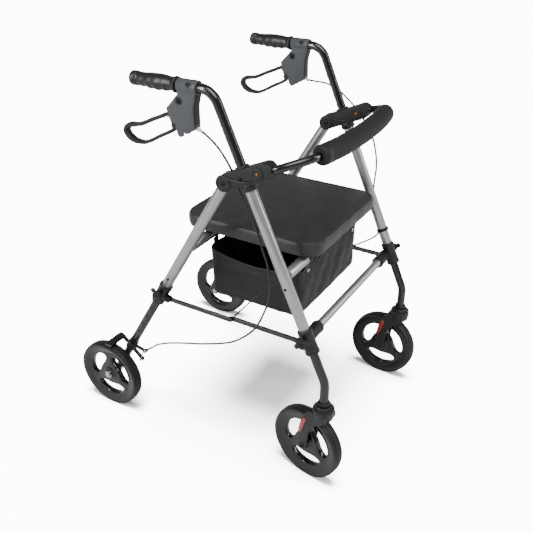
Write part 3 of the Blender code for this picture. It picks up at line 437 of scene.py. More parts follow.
def plate(outlines, placed, thickness, ease=0.001, segments=3):
    """A flat shape with eased edges; the first outline is the outside and the others are openings."""
    shape = bmesh.new()
    edges = []
    for outline in outlines:
        points = [shape.verts.new((*point, -thickness / 2)) for point in outline]
        edges += [shape.edges.new(pair) for pair in zip(points, points[1:] + points[:1])]
    if len(outlines) == 1:
        shape.faces.new(points)
    else:
        bmesh.ops.triangle_fill(shape, use_beauty=True, use_dissolve=True, edges=edges)
    made = bmesh.ops.extrude_face_region(shape, geom=shape.faces[:], use_keep_orig=True)["geom"]
    moved = [part for part in made if isinstance(part, bmesh.types.BMVert)]
    bmesh.ops.translate(shape, vec=(0, 0, thickness), verts=moved)
    bmesh.ops.recalc_face_normals(shape, faces=shape.faces)
    if ease:
        rim = [edge for edge in shape.edges if len(edge.link_faces) == 2
               and edge.calc_face_angle() > radians(50) and abs(edge.verts[0].co.z - edge.verts[1].co.z) < 1e-7]
        bmesh.ops.bevel(shape, geom=rim, offset=ease, segments=segments, profile=0.5, affect="EDGES",
                        material=-1, clamp_overlap=True)
    bmesh.ops.transform(shape, matrix=placed, verts=shape.verts)
    return shape


def bolt_head(at, out, radius):
    """A button head with a round socket, its face toward out."""
    dome = [(0, radius * 0.25), (radius * 0.42, radius * 0.25), (radius * 0.48, radius * 0.6),
            (radius * 0.72, radius * 0.52), (radius * 0.93, radius * 0.3), (radius, 0), (radius, -0.001), (0, -0.001)]
    return turned(dome, at, out, 24)


# moulded glass-filled nylon: near black, with a fine spark-eroded grain about 1 mm across
nylon, tree, shader, place = start_material("black_moulded_nylon", "101112", 0.48, **{"Specular IOR Level": 0.4})
grain = add_node(tree, "ShaderNodeTexNoise", {"Scale": 1 / (1.2 * MM), "Detail": 5.0}, {"Vector": place})
vary(tree, shader, grain.outputs["Fac"], "0d0e0f", "151617", 0.38, 0.54)
emboss(tree, shader, grain.outputs["Fac"], 0.12 * MM)

# brass rivet: warm and slightly tarnished
brass, tree, shader, place = start_material("tarnished_brass_rivet", "9a6a34", 0.34, 1.0)
tarnish = add_node(tree, "ShaderNodeTexNoise", {"Scale": 1 / (3 * MM)}, {"Vector": place})
vary(tree, shader, tarnish.outputs["Fac"], "7d5427", "a97a40", 0.28, 0.46)

backrest_at = Vector(joints["backrest_flip"]["pos_m"])
forward = (backrest_at - fold_at).normalized()
BRACKET_RADIUS, BRACKET_HALF = 0.019, 0.017
bracket_front = fold_at + forward * 0.111
for side, sign in SIDES.items():
    x = joints["brake_lever_" + side]["pos_m"][0]
    ends = fold_at.yz, bracket_front.yz
    shells = [plate([capsule(*ends, BRACKET_RADIUS)], side_place(x), 2 * BRACKET_HALF - 0.001, 0.0060, 6)]
    for face in (-1, 1):
        at = x + face * (BRACKET_HALF - 0.0012)
        shells.append(plate([capsule(*ends, BRACKET_RADIUS - 0.0004), capsule(*ends, BRACKET_RADIUS - 0.0042)],
                            side_place(at), 0.0024, 0.0008, 2))
    shells.append(turned([(0.0145, -0.004), (0.0165, -0.001), (0.0165, 0.006), (0.0150, 0.008), (0.0112, 0.008),
                          (0.0112, -0.004)], on_leg("front", side, 0.7935), up_front, 40))
    shells.append(turned([(0.0140, 0), (0.0166, 0), (0.0178, 0.0020), (0.0180, 0.0120), (0.0140, 0.0120), (0.0140, 0)],
                         on_leg("front", side, 0.7500), up_front, 40))
    for face in (-1, 1):
        drum = Vector((x + face * (BRACKET_HALF - 0.003), *fold_at.yz))
        shells.append(turned([(0, 0), (0.0192, 0), (0.0198, 0.0016), (0.0190, 0.0042), (0.0150, 0.0050), (0.0140, 0.0036),
                              (0, 0.0036)], drum, X * face, 48))
        yoke = Vector((x + face * (BRACKET_HALF - 0.003), *backrest_at.yz))
        shells.append(turned([(0, 0), (0.0150, 0), (0.0158, 0.0016), (0.0150, 0.0042), (0.0104, 0.0050), (0.0094, 0.0036),
                              (0, 0.0036)], yoke, X * face, 48))
        sweep_points = [fold_at + forward * along + up_front * high for along, high in
                        ((0.006, 0.0135), (0.022, 0.0060), (0.040, -0.0035), (0.058, -0.0105), (0.074, -0.0120))]
        ridge = smooth_path([Vector((x + face * (BRACKET_HALF + 0.0006), *point.yz)) for point in sweep_points], 0.003)
        shells.append(swept(ridge, [0.0012 + 0.0016 * sin(pi * k / (len(ridge) - 1)) for k in range(len(ridge))], 14))
    piece("bracket_" + side, shells, nylon, "front_frame", "bracket_" + side)
    out = X * sign
    bolts = [bolt_head(Vector((x, *centre.yz)) + out * (BRACKET_HALF + 0.0010), out, size)
             for centre, size in ((fold_at, 0.0050), (fold_at + forward * 0.047, 0.0040))]
    bolts += [bolt_head(Vector((x, *fold_at.yz)) - out * (BRACKET_HALF + 0.0006), -out, 0.0062)]
    piece("bracket_bolts_" + side, bolts, oxide, "front_frame")
    rivet = Vector((x, *backrest_at.yz))
    piece("backrest_rivet_" + side,
          [bolt_head(rivet + X * face * (BRACKET_HALF + 0.0006), X * face, 0.0040) for face in (-1, 1)],
          brass, "front_frame")


# ---- back bar ---------------------------------------------------------------------------------------
# A bowed steel tube, 19 mm across, that flips up on the brackets. A thick sleeve of closed-cell foam
# is slid over its middle, with a rubbery skin and a rolled edge at each end.
closed_foam, tree, shader, place = start_material("closed_cell_foam_skin", "131415", 0.7, **{"Specular IOR Level": 0.35})
cells = add_node(tree, "ShaderNodeTexNoise", {"Scale": 1 / (1.6 * MM), "Detail": 4.0}, {"Vector": place})
vary(tree, shader, cells.outputs["Fac"], "101112", "18191a", 0.6, 0.78)
emboss(tree, shader, cells.outputs["Fac"], 0.25 * MM)

BACKREST_RISE = 18.8
half_track = abs(joints["brake_lever_left"]["pos_m"][0])
hinge = Vector((half_track, *backrest_at.yz))
rise = Vector((0, -cos(radians(BACKREST_RISE)), sin(radians(BACKREST_RISE))))
half_bar = [hinge - rise * 0.0035, hinge + rise * 0.026, hinge + rise * 0.045,
            hinge + Vector((-0.014, -0.066, 0.023)), hinge + Vector((-0.036, -0.087, 0.029)),
            hinge + Vector((-0.070, -0.101, 0.032)), hinge + Vector((-0.150, -0.1135, 0.032)),
            Vector((0, hinge.y - 0.118, hinge.z + 0.032))]
half_path = [half_bar[0], *smooth_path(half_bar[1:], 0.006)]
full_path = half_path + [Vector((-point.x, point.y, point.z)) for point in half_path[-2::-1]]
piece("backrest_tube", [swept(full_path, 0.0095, 32)], powder, "backrest", "backrest_tube")
FOAM_HALF, FOAM_RADIUS = 0.187, 0.023
covered = [point for point in full_path if abs(point.x) < FOAM_HALF]
run, radii = 0, []
whole_run = length_of(covered)
for k, point in enumerate(covered):
    run += (point - covered[k - 1]).length if k else 0
    inset = min(run, whole_run - run)
    radii.append(FOAM_RADIUS - 0.0035 * max(0, 1 - inset / 0.008) ** 2 - 0.0004 * (0.010 < inset < 0.016))
foam = piece("backrest_foam", [swept(covered, radii, 48)], closed_foam, "backrest", "backrest_foam")
rings = [swept(covered[first:first + 3], FOAM_RADIUS + 0.0002, 48) for first in (2, len(covered) - 5)]
piece("foam_end_rings", rings, nylon, "backrest")


# ---- leg fittings and wing knobs ----------------------------------------------------------------------
# Nylon clamps at the silver legs' feet. Each carries a boss with a wing knob's screw, the strut's lug
# and, in front, a socket for the cross bar.
knob_turn = {"front": 148, "rear": 54}
strut_z = joints["strut_front_right"]["pos_m"][2]
cross_low, cross_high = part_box("front_cross_bar")
cross_at = (cross_low + cross_high) / 2
CROSS_RADIUS = (cross_high.z - cross_low.z) / 2
STRUT_STEP, STRUT_THICK = 0.0034, 0.0058
for side, sign in SIDES.items():
    for which, body, up, toward in (("front", "front_frame", up_front, -1), ("rear", "rear_frame", up_rear, 1)):
        out = X * sign
        bottom, top = on_leg(which, side, 0.380), on_leg(which, side, 0.437)
        tall = (top - bottom).length
        sleeve = [(INNER_RADIUS + 0.0003, 0), (0.0160, 0), (0.0175, 0.0015), (0.0175, 0.0100), (0.0166, 0.0112),
                  (0.0166, tall - 0.0140), (0.0176, tall - 0.0125), (0.0176, tall - 0.0020), (0.0160, tall),
                  (LEG_RADIUS + 0.0002, tall), (LEG_RADIUS + 0.0002, tall - 0.006), (INNER_RADIUS + 0.0003, tall - 0.02),
                  (INNER_RADIUS + 0.0003, 0)]
        shells = [turned(sleeve, bottom, up, 48)]
        knob_at = Vector(joints[f"{which}_knob_turn_{side}"]["pos_m"])
        shells.append(pin(knob_at + out * 0.013, knob_at + out * 0.0212, 0.0090, 0.0012))
        lug_at = Vector(joints[f"strut_{which}_{side}"]["pos_m"])
        bar_x = lug_at.x + sign * STRUT_STEP * toward
        root = on_leg(which, side, strut_z)
        root = root + (lug_at - root).normalized() * 0.012
        for face in (-1, 1):
            shells.append(plate([capsule(root.yz, lug_at.yz, 0.0083)],
                                side_place(bar_x + face * (STRUT_THICK / 2 + 0.0024)), 0.0038, 0.0008, 2))
        if which == "front":
            socket = Vector((lug_at.x - sign * 0.013, cross_at.y, cross_at.z))
            reach = 0.057
            cup = [(CROSS_RADIUS + 0.0003, 0.004), (0.0148, 0), (0.0155, 0.002), (0.0155, reach - 0.008),
                   (0.0163, reach - 0.007), (0.0163, reach - 0.001), (0.0155, reach),
                   (CROSS_RADIUS + 0.0003, reach), (CROSS_RADIUS + 0.0003, 0.004)]
            shells.append(turned(cup, socket, -out, 40))
        piece(f"{which}_fitting_{side}", shells, nylon, body, f"{which}_fitting_{side}")
        rivets = [bolt_head(Vector((bar_x, *lug_at.yz)) + X * face * (STRUT_THICK / 2 + 0.0043), X * face, 0.0042)
                  for face in (-1, 1)]
        piece(f"{which}_strut_rivets_{side}", rivets, oxide, body)

        start = knob_at + out * 0.0218
        hub = [(0, 0), (0.0105, 0), (0.0122, 0.0012), (0.0125, 0.0070), (0.0116, 0.0094), (0.0100, 0.0098),
               (0.0088, 0.0078), (0.0040, 0.0072), (0.0034, 0.0066), (0, 0.0066)]
        turn = radians(knob_turn[which])
        along = Vector((0, cos(turn), sin(turn)))
        knob = [turned(hub, start, out, 40)]
        for way in (1, -1):
            lobe = [(way * u, v) for u, v in arc((0.0160, 0), 0.0068, -140, 140, 18) + [(0.004, 0.0042), (0.004, -0.0042)]]
            spots = [knob_at.yz + Vector((along.y, along.z)) * u + Vector((-along.z, along.y)) * v for u, v in lobe]
            knob.append(plate([[tuple(spot) for spot in spots]], side_place(knob_at.x + sign * 0.0280), 0.0056, 0.0016))
        piece(f"{which}_wing_knob_{side}", knob, nylon, f"{which}_knob_{side}", f"{which}_wing_knob_{side}")
        piece(f"{which}_knob_screw_{side}", [pin(start + out * 0.0064, start + out * 0.0076, 0.0030, 0.0005, 20)],
              oxide, f"{which}_knob_{side}")


# ---- cross bar and seat tubes ---------------------------------------------------------------------------
# The front cross bar is a rolled aluminium tube with fine ribs; the seat turns on one plain tube and
# rests on the other.
RIB_PITCH = 0.004
inner = cross_high.x - 0.050
steps = round(2 * inner / (RIB_PITCH / 4))
bar_path = [Vector((-inner + 2 * inner * k / steps, cross_at.y, cross_at.z)) for k in range(steps + 1)]
bar_radii = [CROSS_RADIUS - (0.0005, 0.0002, 0.0, 0.0002)[k % 4] for k in range(steps + 1)]
ends = [pin((face * (inner - 0.002), *cross_at.yz), (face * cross_high.x, *cross_at.yz), CROSS_RADIUS - 0.0004)
        for face in (-1, 1)]
piece("front_cross_bar", [swept(bar_path, bar_radii, 32), *ends], silver, "front_frame", "front_cross_bar")
for node, body in (("front_seat_tube", "front_frame"), ("rear_seat_tube", "rear_frame")):
    low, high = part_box(node)
    middle = (low + high) / 2
    piece(node, [pin((low.x, *middle.yz), (high.x, *middle.yz), (high.z - low.z) / 2, 0.0008, 48)], silver,
          body, node)


# ---- folding strut --------------------------------------------------------------------------------------
# Two flat steel bars a side, side by side and powder coated, riveted at their eyes and at their middle.
for side, sign in SIDES.items():
    front_eye = Vector(joints["strut_front_" + side]["pos_m"])
    rear_eye = Vector(joints["strut_rear_" + side]["pos_m"])
    middle = (front_eye + rear_eye) / 2
    for which, start, step in (("front", front_eye, -1), ("rear", rear_eye, 1)):
        x = start.x + sign * STRUT_STEP * step
        name = f"strut_{which}_{side}"
        piece(name, [plate([capsule(start.yz, middle.yz, 0.0062)], side_place(x), STRUT_THICK, 0.0009)],
              powder, name, name)
    at = Vector((middle.x - sign * (STRUT_STEP + STRUT_THICK / 2 + 0.0003), *middle.yz))
    piece("strut_middle_rivet_" + side, [bolt_head(at, -X * sign, 0.0045)], zinc, "strut_front_" + side)


# ---- seat -----------------------------------------------------------------------------------------------
# A foam pad in black grained vinyl, stapled under a painted plywood board and hinged on the front seat
# tube. The cover has a boxed side, a piped top edge and a sewn line inside it.
vinyl, tree, shader, place = start_material("grained_black_vinyl", "232423", 0.4, **{"Specular IOR Level": 0.4})
pebbles = add_node(tree, "ShaderNodeTexVoronoi", {"Scale": 1 / (2.2 * MM)}, {"Vector": place}, feature="SMOOTH_F1")
creases = add_node(tree, "ShaderNodeTexNoise", {"Scale": 1 / (30 * MM), "Detail": 4.0}, {"Vector": place})
blended = add_node(tree, "ShaderNodeMath", {1: 0.5}, {0: pebbles.outputs["Distance"], 2: creases.outputs["Fac"]},
                   operation="MULTIPLY_ADD")
vary(tree, shader, creases.outputs["Fac"], "1f201f", "292a29", 0.36, 0.5)
emboss(tree, shader, blended.outputs["Value"], 0.35 * MM, 0.7)

pad_low, pad_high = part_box("seat_pad")
pad_middle = (pad_low + pad_high) / 2
half_x, half_y = (pad_high.x - pad_low.x) / 2, (pad_high.y - pad_low.y) / 2
CORNER = 0.045


def rounded(half_a, half_b, corner, steps=10):
    """A rectangle with round corners about the middle of the pad."""
    spots = [((half_a - corner, half_b - corner), 0), ((corner - half_a, half_b - corner), 90),
             ((corner - half_a, corner - half_b), 180), ((half_a - corner, corner - half_b), 270)]
    outline = [point for spot, start in spots for point in arc(spot, corner, start, start + 90, steps)]
    return [(pad_middle.x + u, pad_middle.y + v) for u, v in outline]


def spaced(outline, step):
    """The closed outline with points no further apart than a step, so that its sides can bow."""
    points = []
    for (u0, v0), (u1, v1) in zip(outline, outline[1:] + outline[:1]):
        count = max(1, round(((u1 - u0) ** 2 + (v1 - v0) ** 2) ** 0.5 / step))
        points += [(u0 + (u1 - u0) * n / count, v0 + (v1 - v0) * n / count) for n in range(count)]
    return points


tall = pad_high.z - pad_low.z
DROP = -0.0100                   # the cover reaches this far below the pad, over the board's edge
levels = [(0.0045, DROP), (0.0018, DROP + 0.0025), (0.0008, -0.002), (0.0, 0.006), (0.0004, 0.016), (0.0016, tall - 0.0080),
          (0.0030, tall - 0.0045), (0.0062, tall - 0.0022), (0.0115, tall - 0.0030), (0.0130, tall - 0.0036),
          (0.0150, tall - 0.0026), (0.0300, tall - 0.0008),
          (0.0600, tall + 0.0010), (0.0950, tall + 0.0024), (0.1300, tall + 0.0030)]
outline = spaced(rounded(half_x, half_y, CORNER), 0.010)
cushion = bmesh.new()
ring = [cushion.verts.new((u, v, pad_low.z)) for u, v in outline]
cap = cushion.faces.new(ring)
previous = None
for inset, height in levels:
    if previous is None:
        loop = list(cap.verts)
    else:
        made = bmesh.ops.extrude_face_region(cushion, geom=[cap])["geom"]
        cap = next(part for part in made if isinstance(part, bmesh.types.BMFace))
        loop = list(cap.verts)
    for vert in loop:
        if previous is not None:
            vert.co.x = pad_middle.x + (vert.co.x - pad_middle.x) * (half_x - inset) / (half_x - previous)
            vert.co.y = pad_middle.y + (vert.co.y - pad_middle.y) * (half_y - inset) / (half_y - previous)
        vert.co.z = pad_low.z + height
    previous = inset
bmesh.ops.poke(cushion, faces=[cap])
bmesh.ops.recalc_face_normals(cushion, faces=cushion.faces)
for vert in cushion.verts:
    bow = max(0, 1 - abs(vert.co.x - pad_middle.x) / half_x) * max(0, 1 - abs(vert.co.y - pad_middle.y) / half_y)
    if vert.co.z > pad_low.z + tall * 0.8:
        vert.co.z += 0.0010 * sin(vert.co.x * 31 + 1.3) * sin(vert.co.y * 27) * bow
    else:
        along_side = min(1, max(0, half_x - abs(vert.co.x - pad_middle.x)) / 0.10)
        vert.co.y -= 0.0014 * along_side * (1 if vert.co.y > pad_middle.y else -1) * sin(vert.co.x * 40) ** 2
seat = piece("seat_cushion", [cushion], vinyl, "seat", "seat_pad", smooth=60)


def piping(name, inset, height, radius, material):
    """A round cord sewn along the cushion's edge."""
    loop = spaced(rounded(half_x - inset, half_y - inset, CORNER - inset), 0.006)
    path = [Vector((u, v, pad_low.z + height)) for u, v in loop]
    return piece(name, [swept([*path, path[0]], radius, 10)], material, "seat")


piping("seat_top_piping", 0.0022, tall - 0.0052, 0.0024, vinyl)
piping("seat_middle_piping", 0.0010, tall - 0.0130, 0.0018, vinyl)
piping("seat_lower_piping", 0.0020, DROP + 0.0032, 0.0022, vinyl)

# sewing thread: bonded polyester, a touch lighter than the vinyl
thread, tree, shader, place = start_material("bonded_polyester_thread", "2e2f31", 0.6)
ply = add_node(tree, "ShaderNodeTexNoise", {"Scale": 1 / (1 * MM)}, {"Vector": place})
vary(tree, shader, ply.outputs["Fac"], "27282a", "3a3b3d", 0.5, 0.7)
stitches = []
STITCH, STITCH_GAP = 0.0042, 0.0018
line = [Vector((u, v, pad_low.z + tall - 0.0031)) for u, v in spaced(rounded(half_x - 0.012, half_y - 0.012, 0.034), 0.0015)]
run = 0
for start, end in zip(line, line[1:] + line[:1]):
    run += (end - start).length
    if run > STITCH + STITCH_GAP:
        run = 0
        way = (end - start).normalized() * STITCH
        stitches.append(swept([start, start + way / 2 + Vector((0, 0, 0.0003)), start + way], [0.0002, 0.00045, 0.0002], 6))
piece("seat_stitching", stitches, thread, "seat")

# painted plywood: flat black over a faint open grain
board_paint, tree, shader, place = start_material("black_painted_plywood", "0b0b0b", 0.6)
lengthwise = add_node(tree, "ShaderNodeMapping", {"Scale": (0.06, 1, 1)}, {"Vector": place})
wood = add_node(tree, "ShaderNodeTexNoise", {"Scale": 1 / (3 * MM), "Detail": 5.0}, {"Vector": lengthwise.outputs["Vector"]})
vary(tree, shader, wood.outputs["Fac"], "080808", "101010", 0.5, 0.7)
emboss(tree, shader, wood.outputs["Fac"], 0.15 * MM)
frame["nodes"]["seat_board"].data.materials.clear()
frame["nodes"]["seat_board"].data.materials.append(board_paint)


# ---- bag ------------------------------------------------------------------------------------------------
# A shopping bag of woven black polyester, hung by straps from both seat tubes. Its top is open and its
# front, sides and bottom sag under their own weight.
woven, tree, shader, place = start_material("woven_black_polyester", "0e0e10", 0.72, **{"Sheen Weight": 0.1, "Specular IOR Level": 0.35})
warp = add_node(tree, "ShaderNodeTexWave", {"Scale": 2 * pi / 20 / (2.4 * MM), "Distortion": 0.3}, {"Vector": place},
                bands_direction="X")
weft = add_node(tree, "ShaderNodeTexWave", {"Scale": 2 * pi / 20 / (2.4 * MM), "Distortion": 0.3}, {"Vector": place},
                bands_direction="Z")
weave = add_node(tree, "ShaderNodeMath", {}, {0: warp.outputs["Fac"], 1: weft.outputs["Fac"]}, operation="MULTIPLY")
folds = add_node(tree, "ShaderNodeTexNoise", {"Scale": 1 / (45 * MM), "Detail": 3.0}, {"Vector": place})
vary(tree, shader, folds.outputs["Fac"], "0b0b0d", "161619", 0.6, 0.8)
emboss(tree, shader, weave.outputs["Value"], 0.3 * MM, 0.6)

bag_low, bag_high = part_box("bag")
bag_middle = (bag_low + bag_high) / 2
bag_x, bag_y = (bag_high.x - bag_low.x) / 2, (bag_high.y - bag_low.y) / 2
bag_tall = bag_high.z - bag_low.z
bag = bmesh.new()
bmesh.ops.create_cube(bag, size=1, matrix=Matrix.Translation(bag_middle)
                      @ Matrix.Diagonal((2 * bag_x - 0.004, 2 * bag_y - 0.004, bag_tall - 0.002, 1)))
lid = max(bag.faces, key=lambda face: face.calc_center_median().z)
bmesh.ops.delete(bag, geom=[lid], context="FACES_ONLY")
bmesh.ops.subdivide_edges(bag, edges=bag.edges[:], cuts=27, use_grid_fill=True)
for vert in bag.verts:
    u, v = (vert.co.x - bag_middle.x) / bag_x, (vert.co.y - bag_middle.y) / bag_y
    w = (vert.co.z - bag_low.z) / bag_tall
    belly = (1 - w) * w * 4
    along_x, along_y = max(0, 1 - u * u), max(0, 1 - v * v)
    wrinkle = sin(u * 9 + w * 5 + 0.7) * sin(w * 11 + u * 4) + 0.6 * sin(u * 17 - w * 8)
    if abs(v) > 0.96:
        vert.co.y += (1 if v > 0 else -1) * (0.0030 * belly * along_x + 0.0036 * wrinkle * belly * along_x ** 0.5)
        vert.co.z -= 0.011 * w ** 4 * along_x * abs(sin(u * 4.2)) * (1 if v < 0 else 0.6)
    if abs(u) > 0.96:
        vert.co.x -= (1 if u > 0 else -1) * (0.014 * belly * along_y + 0.0055 * wrinkle * belly * along_y)
        vert.co.z -= 0.024 * w ** 4 * along_y
    corner = max(0, abs(u) - 0.9) * max(0, abs(v) - 0.9) * 100
    vert.co.x -= u * 0.012 * corner * (1 - 0.5 * w)
    vert.co.y -= v * 0.010 * corner * (1 - 0.5 * w)
    if w < 0.02:
        vert.co.z += 0.008 * max(abs(u), abs(v)) ** 4 + 0.0018 * wrinkle * along_x * along_y
bmesh.ops.smooth_vert(bag, verts=bag.verts[:], factor=0.5, use_axis_x=True, use_axis_y=True, use_axis_z=True)
bmesh.ops.recalc_face_normals(bag, faces=bag.faces)
bag_piece = piece("bag_body", [bag], woven, None, smooth=80)
wall = bag_piece.modifiers.new("cloth", "SOLIDIFY")
wall.thickness, wall.offset = 0.0016, -1
bpy.context.view_layer.objects.active = bag_piece
with bpy.context.temp_override(object=bag_piece, active_object=bag_piece, selected_objects=[bag_piece]):
    bpy.ops.object.modifier_apply(modifier=wall.name)
bag_piece.data.shade_smooth()
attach(bag_piece, "front_frame")
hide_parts("bag")
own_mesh(bag_piece)

# hanging straps and press studs
tube_radius = (seat_tube_high.z - seat_tube_low.z) / 2
for which, body, node in (("front", "front_frame", "front_seat_tube"), ("rear", "rear_frame", "rear_seat_tube")):
    low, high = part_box(node)
    centre = (low + high) / 2
    loops = []
    for x in (-0.140, -0.05, 0.05, 0.140):
        ring = [Vector((x, centre.y + (tube_radius + 0.0012) * cos(a), centre.z + (tube_radius + 0.0012) * sin(a)))
                for a in (radians(-60 + 12 * k) for k in range(26))]
        inward = bag_low.y + 0.006 if which == "front" else bag_high.y - 0.006
        tail = Vector((x, inward, bag_high.z - 0.022))
        loops.append(swept([*ring, tail], 1, 12, flat=(0.011, 0.0009)))
    piece(f"bag_straps_{which}", loops, woven, body)
studs = []
for x in (-0.127, 0.127):
    at = Vector((x, bag_low.y - 0.001, bag_high.z - 0.016))
    studs.append(bolt_head(at, Vector((0, -1, 0)), 0.0055))
piece("bag_press_studs", studs, zinc, "front_frame")


# ---- grips, brake housings and levers -------------------------------------------------------------------
# Rubber grips with finger bumps are pushed on the posts. In front of each sits a moulded housing for the
# loop lever, whose cable leaves its lower corner through a white ferrule.
rubber, tree, shader, place = start_material("moulded_black_rubber", "101112", 0.36, **{"Specular IOR Level": 0.45})
matt = add_node(tree, "ShaderNodeTexNoise", {"Scale": 1 / (1.4 * MM), "Detail": 4.0}, {"Vector": place})
vary(tree, shader, matt.outputs["Fac"], "0d0e0f", "131415", 0.3, 0.42)
emboss(tree, shader, matt.outputs["Fac"], 0.05 * MM)

# charcoal acetal: grey-black, matt, with a slightly mottled mould skin
charcoal, tree, shader, place = start_material("charcoal_moulded_acetal", "3d4043", 0.46, **{"Specular IOR Level": 0.4})
skin = add_node(tree, "ShaderNodeTexNoise", {"Scale": 1 / (1.5 * MM), "Detail": 5.0}, {"Vector": place})
vary(tree, shader, skin.outputs["Fac"], "37393c", "45484b", 0.38, 0.52)
emboss(tree, shader, skin.outputs["Fac"], 0.12 * MM)

ferrule_white, tree, shader, place = start_material("white_nylon_ferrule", "d9dad8", 0.4)
milk = add_node(tree, "ShaderNodeTexNoise", {"Scale": 1 / (5 * MM)}, {"Vector": place})
vary(tree, shader, milk.outputs["Fac"], "cfd0cd", "e2e3e1", 0.35, 0.5)

HOUSING = [(0.0055, 0.009), (0.006, -0.008), (0.0145, -0.043), (0.014, -0.087), (0.0245, -0.097),
           (0.0411, -0.0995), (0.0435, -0.108), (0.0541, -0.112), (0.0610, -0.105), (0.0641, -0.0844),
           (0.0789, -0.0754), (0.0872, -0.0513), (0.0555, -0.017), (0.0535, 0.009)]
LEVER_TOP = [(0.0560, -0.0400), (0.0760, -0.0600), (0.0935, -0.0680), (0.1120, -0.0765), (0.1343, -0.0860),
             (0.1530, -0.0950), (0.1707, -0.1030), (0.1880, -0.1070), (0.2025, -0.1095), (0.2120, -0.1150),
             (0.2158, -0.1255), (0.2085, -0.1365), (0.1915, -0.1450), (0.1672, -0.1459), (0.1480, -0.1390),
             (0.1323, -0.1305), (0.1140, -0.1205), (0.0950, -0.1109), (0.0760, -0.0995), (0.0600, -0.0800),
             (0.0530, -0.0550)]
HOUSING_HALF, LEVER_HALF = 0.013, 0.009
for side, sign in SIDES.items():
    body = "handle_" + side
    grip_low, grip_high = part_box("grip_" + side)
    x = (grip_low.x + grip_high.x) / 2
    length = grip_high.y - grip_low.y
    handle = Vector((x, handle_y[side], GRIP_Z))
    profile = [(0, length), (0.0122, length), (0.0142, length - 0.0008), (0.0158, length - 0.003), (0.0162, length - 0.006),
               (0.0162, length - 0.012), (0.0152, length - 0.0135), (0.0152, length - 0.0155), (0.0162, length - 0.017)]
    for k in range(23, -1, -1):
        share = k / 23
        swell = 0.0152 + 0.0026 * sin(pi * min(1, share * 1.15)) ** 1.3
        profile.append((swell, 0.012 + (length - 0.032) * share))
    profile += [(0.0152, 0.0105), (0.0160, 0.0075), (0.0174, 0.0062), (0.0180, 0.0045), (0.0180, 0.0014),
                (0.0170, 0), (0, 0)]
    grip = turned(profile, (x, grip_low.y, GRIP_Z), (0, 1, 0), 56)
    for vert in grip.verts:
        run = vert.co.y - grip_low.y
        if 0.018 < run < length - 0.020:
            wave = sin((run - 0.018) / (length - 0.038) * 8 * pi - pi / 2)
            below = 0.5 - (vert.co.z - GRIP_Z) / 0.036
            outward = Vector((vert.co.x - x, 0, vert.co.z - GRIP_Z)).normalized()
            vert.co += outward * 0.0011 * wave * below
    piece("grip_" + side, [grip], rubber, body, "grip_" + side)

    outline = [tuple(handle.yz + Vector(point)) for point in HOUSING]
    wall = (HOUSING_HALF - LEVER_HALF - 0.0005)
    shells = [plate([outline], side_place(x + face * (HOUSING_HALF - wall / 2)), wall, 0.0016, 3) for face in (-1, 1)]
    spine = [tuple(handle.yz + Vector(point)) for point in
             ((0.0060, 0.009), (0.0064, -0.008), (0.0149, -0.043), (0.0144, -0.086), (0.0245, -0.0960),
              (0.0400, -0.0985), (0.0425, -0.060), (0.0380, -0.030), (0.0400, -0.014), (0.0530, -0.012), (0.0530, 0.009))]
    shells.append(plate([spine], side_place(x), 2 * HOUSING_HALF - 0.003, 0.0012))
    sleeve = [(INNER_RADIUS + 0.0003, 0), (0.0143, 0), (0.0155, 0.0014), (0.0155, 0.0505), (0.0146, 0.0520),
              (INNER_RADIUS + 0.0003, 0.0520), (INNER_RADIUS + 0.0003, 0)]
    shells.append(turned(sleeve, handle + Vector((0, 0.0055, 0)), (0, 1, 0), 48))
    for k in range(7):
        at = handle + Vector((0, 0.0665 + 0.0030 * k, -0.0790 + 0.0036 * k))
        shells.append(pin(at - X * (HOUSING_HALF - 0.001), at - X * (LEVER_HALF + 0.001), 0.0014, 0.0005, 12))
        shells.append(pin(at + X * (LEVER_HALF + 0.001), at + X * (HOUSING_HALF - 0.001), 0.0014, 0.0005, 12))
    piece("brake_housing_" + side, shells, charcoal, body, "brake_housing_" + side)
    face_plate = [tuple(handle.yz + Vector(point)) for point in
                  ((0.0048, 0.004), (0.0052, -0.008), (0.0137, -0.043), (0.0132, -0.080), (0.0160, -0.082),
                   (0.0172, -0.043), (0.0090, -0.008), (0.0085, 0.004))]
    piece("housing_front_cap_" + side, [plate([face_plate], side_place(x), 2 * HOUSING_HALF - 0.006, 0.001)], nylon, body)
    lever_at = Vector(joints["brake_lever_" + side]["pos_m"])
    rings, bolts = [], []
    for spot in (handle + Vector((0, 0.0235, 0.0040)), lever_at):
        for face in (-1, 1):
            flush = Vector((x + face * HOUSING_HALF, spot.y, spot.z))
            out = X * face
            rings.append(turned([(0.0052, -0.001), (0.0082, -0.001), (0.0082, 0.0010), (0.0074, 0.0018), (0.0060, 0.0018),
                                 (0.0052, 0.0010), (0.0052, -0.001)], flush, out, 32))
            bolts.append(bolt_head(flush + out * 0.0003, out, 0.0049))
    piece("housing_bolt_rings_" + side, rings, nylon, body)
    piece("housing_bolts_" + side, bolts, oxide, body)

